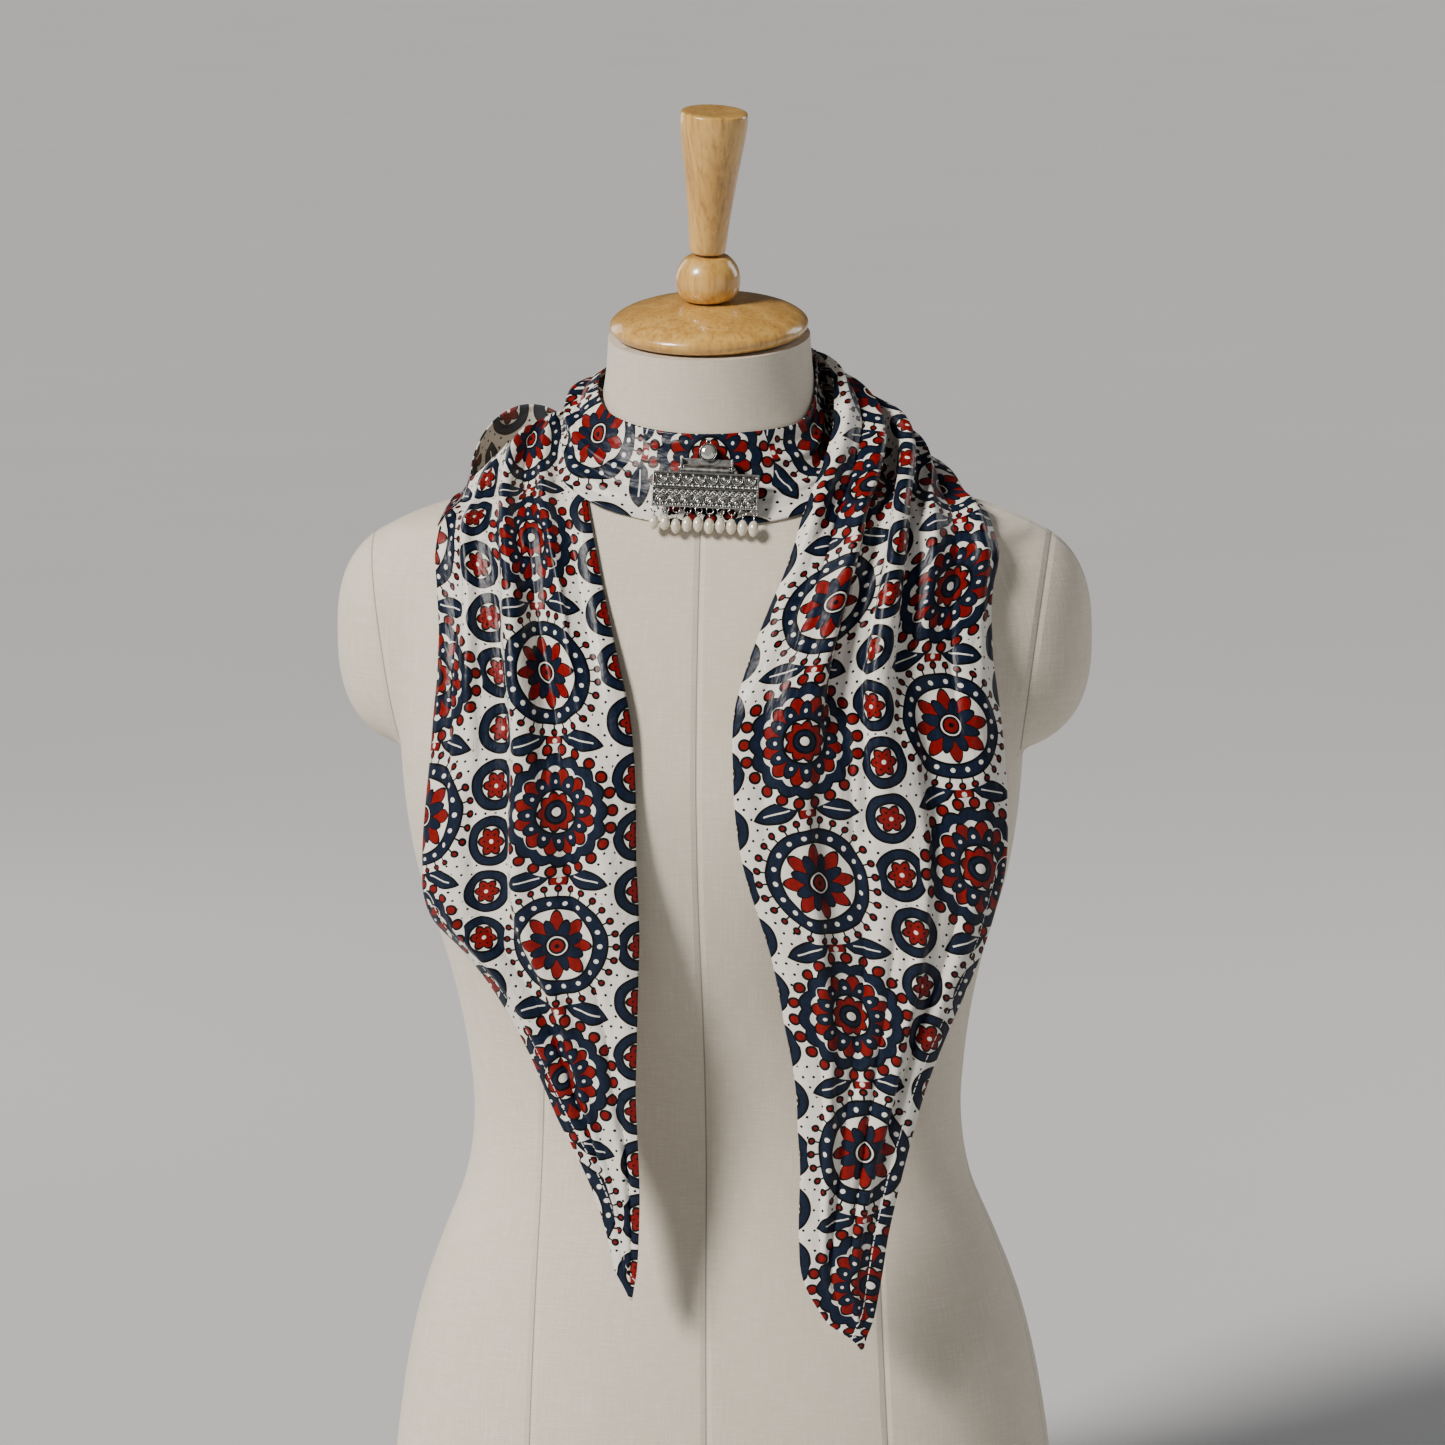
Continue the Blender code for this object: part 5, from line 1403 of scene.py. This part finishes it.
def build_bracket(brooch):
    half, radius, knob = LUG["thick"] / 2, LUG["radius"], PIN_END["radius"]
    tip = half + PIN_END["beyond"]
    end_profile = (
        (0, -half), (radius, -half), (radius, half), (knob, half), (knob, tip),
        (knob * PIN_END["narrow"], tip + PIN_END["round"]), (0, tip + PIN_END["long"]),
    )
    bar_at = (0, BAR["back"] - BAR["thick"] / 2, BAR["above"] + BAR["tall"] / 2)
    forms = [block((BAR["long"], BAR["thick"], BAR["tall"]), bar_at)]
    ends = []
    deep = BAR["back"] - JOINED + LUG["front"]
    for side in (-1, 1):
        lug_x = side * (TUBE["long"] / 2 + LUG["gap"] + LUG["thick"] / 2)
        lug_at = (lug_x, deep / 2 - LUG["front"], LUG["tall"] / 2)
        forms.append(block((LUG["thick"], deep, LUG["tall"]), lug_at))
        along = Matrix.Translation((lug_x, 0, 0)) @ Matrix.Rotation(math.radians(90 * side), 4, "Y")
        ends.append(turned(end_profile, reach=0.25, sides=48, tilt=along))
    obj = Shape(*forms).piece("bracket_bar", brooch, "silver_bar", ROOT, "brooch_bracket")
    rounded = obj.modifiers.new("edges", "BEVEL")
    rounded.width = BAR["round"] * MM
    rounded.segments = 3
    Shape(*ends).piece("bracket_ends", brooch, "silver", ROOT)
    facing = brooch @ Matrix.Translation((BEZEL["x"] * MM, 0, BEZEL["above"] * MM))
    facing = facing @ Matrix.Rotation(math.radians(90), 4, "X")
    outer, bore = BEZEL["radius"], BEZEL["bore"]
    cup = (
        (0, -BEZEL["floor"]), (bore, -BEZEL["floor"]), (bore, -BEZEL["rim"]), (outer, -BEZEL["rim"]),
        (outer, -BEZEL["back"]), (0, -BEZEL["back"]),
    )
    Shape(turned(cup, reach=0.25, sides=72)).piece("bezel", facing, "silver", ROOT)
    centre = (BEZEL["x"], PRONG["y"], BEZEL["above"] + outer + PRONG["above"])
    path = arc(PRONG["ring"], 0, 360, 40, centre, (1, 0, 0), (0, 0, 1))
    Shape(wire(path, PRONG["wire"], (0, 1, 0))).piece("prong", brooch, "silver", ROOT)
    build_stone(facing)


def build_stone(facing):
    """A round cut stone: table, eight kites, sixteen girdle facets and a shallow back."""
    radius, front, girdle, back = STONE["radius"], -STONE["front"], -STONE["girdle"], -STONE["back"]
    shape = bmesh.new()
    for size, count, shift, height in (
        (STONE["table"], 8, 0, front),
        (radius * STONE["kites"], 8, 0.5, girdle + (front - girdle) * STONE["kites_up"]),
        (radius, 16, 0, girdle),
        (radius, 16, 0, girdle - STONE["edge"]),
        (radius * STONE["foot"], 8, 0.5, back),
    ):
        for index in range(count):
            angle = 2 * math.pi * (index + shift) / count
            shape.verts.new((size * math.cos(angle), size * math.sin(angle), height))
    hull = bmesh.ops.convex_hull(shape, input=shape.verts)
    bmesh.ops.delete(shape, geom=hull["geom_interior"], context="VERTS")
    bmesh.ops.dissolve_limit(shape, angle_limit=0.01, verts=shape.verts, edges=shape.edges)
    mesh = bpy.data.meshes.new("stone")
    shape.to_mesh(mesh)
    shape.free()
    mesh.transform(facing @ Matrix.Diagonal((MM, MM, MM, 1)))
    add_piece("stone", mesh, "crystal", ROOT, "brooch_stone")


def pearl_places():
    return [(index - (len(PEARLS) - 1) / 2) * EYELET["pitch"] for index in range(len(PEARLS))]


def build_pearls(brooch):
    """Oval pearls with slightly pointed lower ends, each a little different, on wires with an open eye.

    They swing on the middle of the wire at an eyelet's lowest point.
    """
    level = -PLATE["below"] - PLATE["tall"] - EYELET["below"] - EYELET["ring"]
    ring, thick = PEARL_EYE["ring"], PEARL_EYE["wire"]
    for number, (x, (drop, width, height, lean)) in enumerate(zip(pearl_places(), PEARLS), start=1):
        axis = brooch @ Matrix.Translation(Vector((x, 0, level)) * MM)
        tall = height / 2
        profile = [
            (width / 2 * math.sin(t) * (1 - PEARL_POINTED * max(-math.cos(t), 0) ** 2), tall * math.cos(t))
            for t in np.linspace(0, math.pi, 33)
        ]
        at = Matrix.Translation((0, 0, -drop)) @ Matrix.Rotation(math.radians(lean), 4, "Y")
        body = f"pearl_drop_{number:02d}"
        bead = Shape(turned(profile, reach=0.01, sides=40, tilt=at))
        bead.piece(f"pearl_bead_{number:02d}", axis, "pearl", body, f"pearl_{number:02d}")
        foot = -drop + tall + PEARL_STRING_GAP
        path = arc(ring, 180, 180 - PEARL_EYE["turn"], 26, (0, 0, 0), (0, 1, 0), (0, 0, 1))
        if foot < -ring - thick:
            path = [(0, 0, step) for step in np.linspace(foot, -ring, 6)[:-1]] + path
        on_top = at @ Matrix.Translation((0, 0, tall - CAP_SUNK))
        cap = turned(PEARL_CAP, reach=0.1, sides=24, tilt=on_top)
        hook = Shape(wire(path, thick, (1, 0, 0), sides=8), cap)
        hook.piece(f"pearl_hook_{number:02d}", axis, "silver", body, f"pearl_wire_{number:02d}")


class Stretch:
    """A stretch of the scarf: its grid of inner points, its outward normals, and its outer surface."""

    def __init__(self, points, outward, wall):
        rows, columns = points.shape[:2]
        self.points = points
        self.outward = outward
        self.normals = grid_normals(points, outward)
        outer = with_margin(points + self.normals * wall)
        self.surface = Surface(outer.reshape(-1, 3), grid_faces(rows + 2, columns + 2))

    def edge(self, *place):
        """An edge's points and outward normals, for the stretch that goes on from it."""
        return self.points[place], self.normals[place]


def solid_stretches(form):
    """The six stretches as the solids have them, lowest first."""
    solid = Surface(*form_grid(FORM_SIDES, form_levels(FORM_LEVELS)))
    under = Stretch(band_grid(UNDER_ROWS, NAPE_CREASES, form, [solid], GRIDS["nape_under"]), -1, WALL)
    left_points = ribbon(
        LEFT_TAIL_ROWS, LEFT_FOLDS, -1, form, [solid], GRIDS["tail_left"], curl_from=LEFT_CURL_FROM
    )
    left = Stretch(left_points, -1, WALL)
    loop_points = ribbon(
        LOOP_ROWS, LOOP_FOLDS, 1, form, [solid], GRIDS["shoulder_loop"], crowding=1, curl_from=NO_CURL,
        start=under.edge(-1, slice(None, None, -1)),
        end=left.edge(slice(LOOP_MEETS_STATION, None, -1), -1),
    )
    loop = Stretch(loop_points, 1, WALL)
    lower = [solid, left.surface, loop.surface, under.surface]
    band = Stretch(band_grid(BAND_ROWS, BAND_CREASES, form, lower, GRIDS["front_band"]), -1, BAND_WALL)
    lower = [solid, under.surface, loop.surface]
    over = Stretch(band_grid(OVER_ROWS, NAPE_CREASES, form, lower, GRIDS["nape_over"]), -1, WALL)
    lower = [solid, band.surface, under.surface]
    right_points = ribbon(
        RIGHT_TAIL_ROWS, RIGHT_FOLDS, 1, form, lower, GRIDS["tail_right"], start=over.edge(0)
    )
    return dict(zip(STRETCHES, (under, left, loop, band, over, Stretch(right_points, 1, WALL))))


def finer(points):
    """The grid with more points, on smooth curves through the old ones."""
    for _ in range(2):
        knots = np.arange(len(points))
        fine = spline(knots, points, np.linspace(0, knots[-1], knots[-1] * FINER + 1))
        points = fine.transpose(1, 0, 2)
    return points


def lengths(points):
    """Length along each column of the grid from its first row."""
    steps = np.linalg.norm(np.diff(points, axis=0), axis=2)
    return np.concatenate([np.zeros((1, points.shape[1])), np.cumsum(steps, axis=0)])


def pointed(points, tip_at):
    """Narrows the last rows of a tail towards its tip, which is at a place across the last row."""
    columns = points.shape[1]
    middle = lengths(points)[:, columns // 2]
    share = np.clip((middle[-1] - middle) / TIP_LONG, 0, 1)
    narrow = TIP_NARROW + (1 - TIP_NARROW) * share
    tip = points[:, [round(tip_at * (columns - 1))]]
    return tip + (points - tip) * narrow[:, None, None]


def hem_map(points, level):
    """For each point, how far it is from the outer edge below the level, and how far along the edge."""
    edge = points[:, -1][points[:, -1, 2] < level]
    along = lengths(edge[:, None])[:, 0]
    away = np.linalg.norm(points[:, :, None] - edge, axis=3)
    return np.stack([away.min(axis=2), along[away.argmin(axis=2)]], axis=2)


def tail_map(points, straight_to):
    """Flat coordinates of a tail: across from its inner edge, and along from a level below the shoulder.

    Above the level the cloth is gathered, so that more of its width goes into each row. Near the tip, the
    inner edge may cut across the cloth, from the line that it is straight to.
    """
    across = lengths(points.transpose(1, 0, 2)).T
    down = lengths(points)
    start = int(np.argmin(np.abs(points[:, 0, 2] - PRINT_LEVEL)))
    above = np.arange(len(points))[:, None] < start
    wide = across[:, -1:]
    gathered = np.maximum(wide[start] / wide, 1) ** GATHER
    beyond = np.maximum(np.abs(points[:, 0, 0]) - straight_to, 0)
    beyond = np.where(points[:, 0, 2] < TIP_FROM, beyond, 0)
    across = np.where(above, across * gathered, across) + beyond[:, None]
    down = np.where(above, down - down[start], down[:, :1] - down[start, 0])
    return np.stack([across, down], axis=2)


def strip_map(points):
    """Flat coordinates of a stretch round the neck: across it, and along the cloth's length."""
    along = np.repeat(lengths(points)[:, [points.shape[1] // 2]], points.shape[1], axis=1)
    return np.stack([lengths(points.transpose(1, 0, 2)).T, along], axis=2)


def cloth_piece(name, points, outward, maps):
    """A thin shell of cloth over a grid of inner points, with its flat coordinates as maps."""
    faces = grid_faces(*points.shape[:2])
    if outward > 0:
        faces = [face[::-1] for face in faces]
    mesh = bpy.data.meshes.new("cloth_" + name)
    mesh.from_pydata(points.reshape(-1, 3), [], faces)
    for map_name, values in maps.items():
        add_map(mesh, map_name, values)
    mesh.shade_smooth()
    obj = add_piece("cloth_" + name, mesh, "cloth", ROOT, "scarf_" + name)
    mesh.materials.append(MATERIALS["cloth_back"])
    shell = obj.modifiers.new("shell", "SOLIDIFY")
    shell.thickness = CLOTH
    shell.offset = 1
    shell.material_offset = 1
    return obj


def build_cloth():
    """The six stretches as thin cloth with its creases, each in the place of its solid."""
    form = Surface(*form_grid(FINE_SIDES, np.interp(np.linspace(0, 1, FINE_LEVELS), *FINE_LEVEL_MARKS)))
    solids = solid_stretches(form)
    surfaces = {}
    for name, row in STRETCHES.items():
        outward = solids[name].outward
        points = finer(solids[name].points)
        middle = lengths(points)[:, points.shape[1] // 2]
        places = np.linspace(0, 1, points.shape[1])
        creases = folds_of(row["creases"], middle / middle[-1], places, crease_profile)
        points = points + grid_normals(points, outward) * (CLOTH_RISE + creases)[..., None]
        tail = row.get("tail")
        if tail:
            points = pointed(points, tail["tip_at"])
        points = settled(points, form, [surfaces[other] for other in row["over"]])
        surfaces[name] = Stretch(points, outward, CLOTH).surface
        if tail:
            maps = {
                "cloth": tail_map(points, tail["straight_to"] * MM),
                "hem": hem_map(points, tail["hem_below"] * MM),
            }
        else:
            maps = {"cloth": strip_map(points), "hem": np.full(points.shape[:2] + (2,), UNHEMMED)}
        maps["cloth"] += np.array(row["print_at"]) * MM
        cloth_piece(name, points, outward, maps)


def build_camera():
    """A camera at the photograph's angle, turned round the upright axis and tilted down."""
    turn, tilt, roll = CAMERA["turn"], CAMERA["tilt"], CAMERA["roll"]
    back = Vector((math.sin(turn) * math.cos(tilt), -math.cos(turn) * math.cos(tilt), math.sin(tilt)))
    level = Vector((math.cos(turn), math.sin(turn), 0))
    upward = back.cross(level)
    right = level * math.cos(roll) - upward * math.sin(roll)
    up = upward * math.cos(roll) + level * math.sin(roll)
    camera = add_object("camera", bpy.data.cameras.new("camera"))
    camera.data.lens = CAMERA["lens"]
    turned_to = Matrix((right, up, back)).transposed().to_4x4()
    camera.matrix_world = Matrix.Translation(CAMERA["aim"] + back * CAMERA["distance"]) @ turned_to
    bpy.context.scene.camera = camera


def build_studio():
    """Plain pale floor, and soft light from the upper left in front."""
    reach = FLOOR_REACH
    mesh = bpy.data.meshes.new("studio")
    corners = [(-reach, -reach, 0), (reach, -reach, 0), (reach, reach, 0), (-reach, reach, 0)]
    mesh.from_pydata(corners, [], [(0, 1, 2, 3)])
    made = Finish("studio", Roughness=0.9)
    made.set(Base_Color=made.mix(made.noise(made.place(), "floor"), FLOOR["deep"], FLOOR["pale"]))
    mesh.materials.append(made.material)
    add_object("studio", mesh)
    key = add_object("key", bpy.data.lights.new("key", "SUN"))
    key.data.energy = KEY["power"]
    key.data.color = KEY["colour"]
    key.data.angle = KEY["soft"]
    key.rotation_euler = Vector(KEY["from"]).to_track_quat("Z", "Y").to_euler()
    for name, place, size, power in LIGHTS:
        light = add_object(name, bpy.data.lights.new(name, "AREA"))
        light.data.shape = "RECTANGLE"
        light.data.size, light.data.size_y = size
        light.data.energy = power
        aim = (LIGHTS_AIM - Vector(place)).to_track_quat("-Z", "Y")
        light.matrix_world = Matrix.Translation(place) @ aim.to_matrix().to_4x4()
    world = bpy.data.worlds.new("world")
    bpy.context.scene.world = world
    world.use_nodes = True
    for name, value in WORLD.items():
        world.node_tree.nodes["Background"].inputs[name].default_value = value


def main():
    build_camera()
    build_linen_form()
    build_wood()
    build_cloth()
    brooch = Matrix.Translation(HINGE) @ Matrix.Rotation(TURN, 4, "Y") @ Matrix.Rotation(-LEAN, 4, "X")
    build_plate(brooch)
    build_bracket(brooch)
    build_pearls(brooch)
    build_studio()


MATERIALS = {
    "cloth": printed_cloth("cloth", 0.0),
    "cloth_back": printed_cloth("cloth_back", 0.06),
    "linen": linen(),
    "wood": wood(),
    "silver": silver("silver", 0.22, SILVER["pale"]),
    "silver_bar": silver("silver_bar", 0.38, SILVER["bright"]),
    "silver_relief": silver_relief(),
    "crystal": crystal(),
    "pearl": pearl(),
}
main()
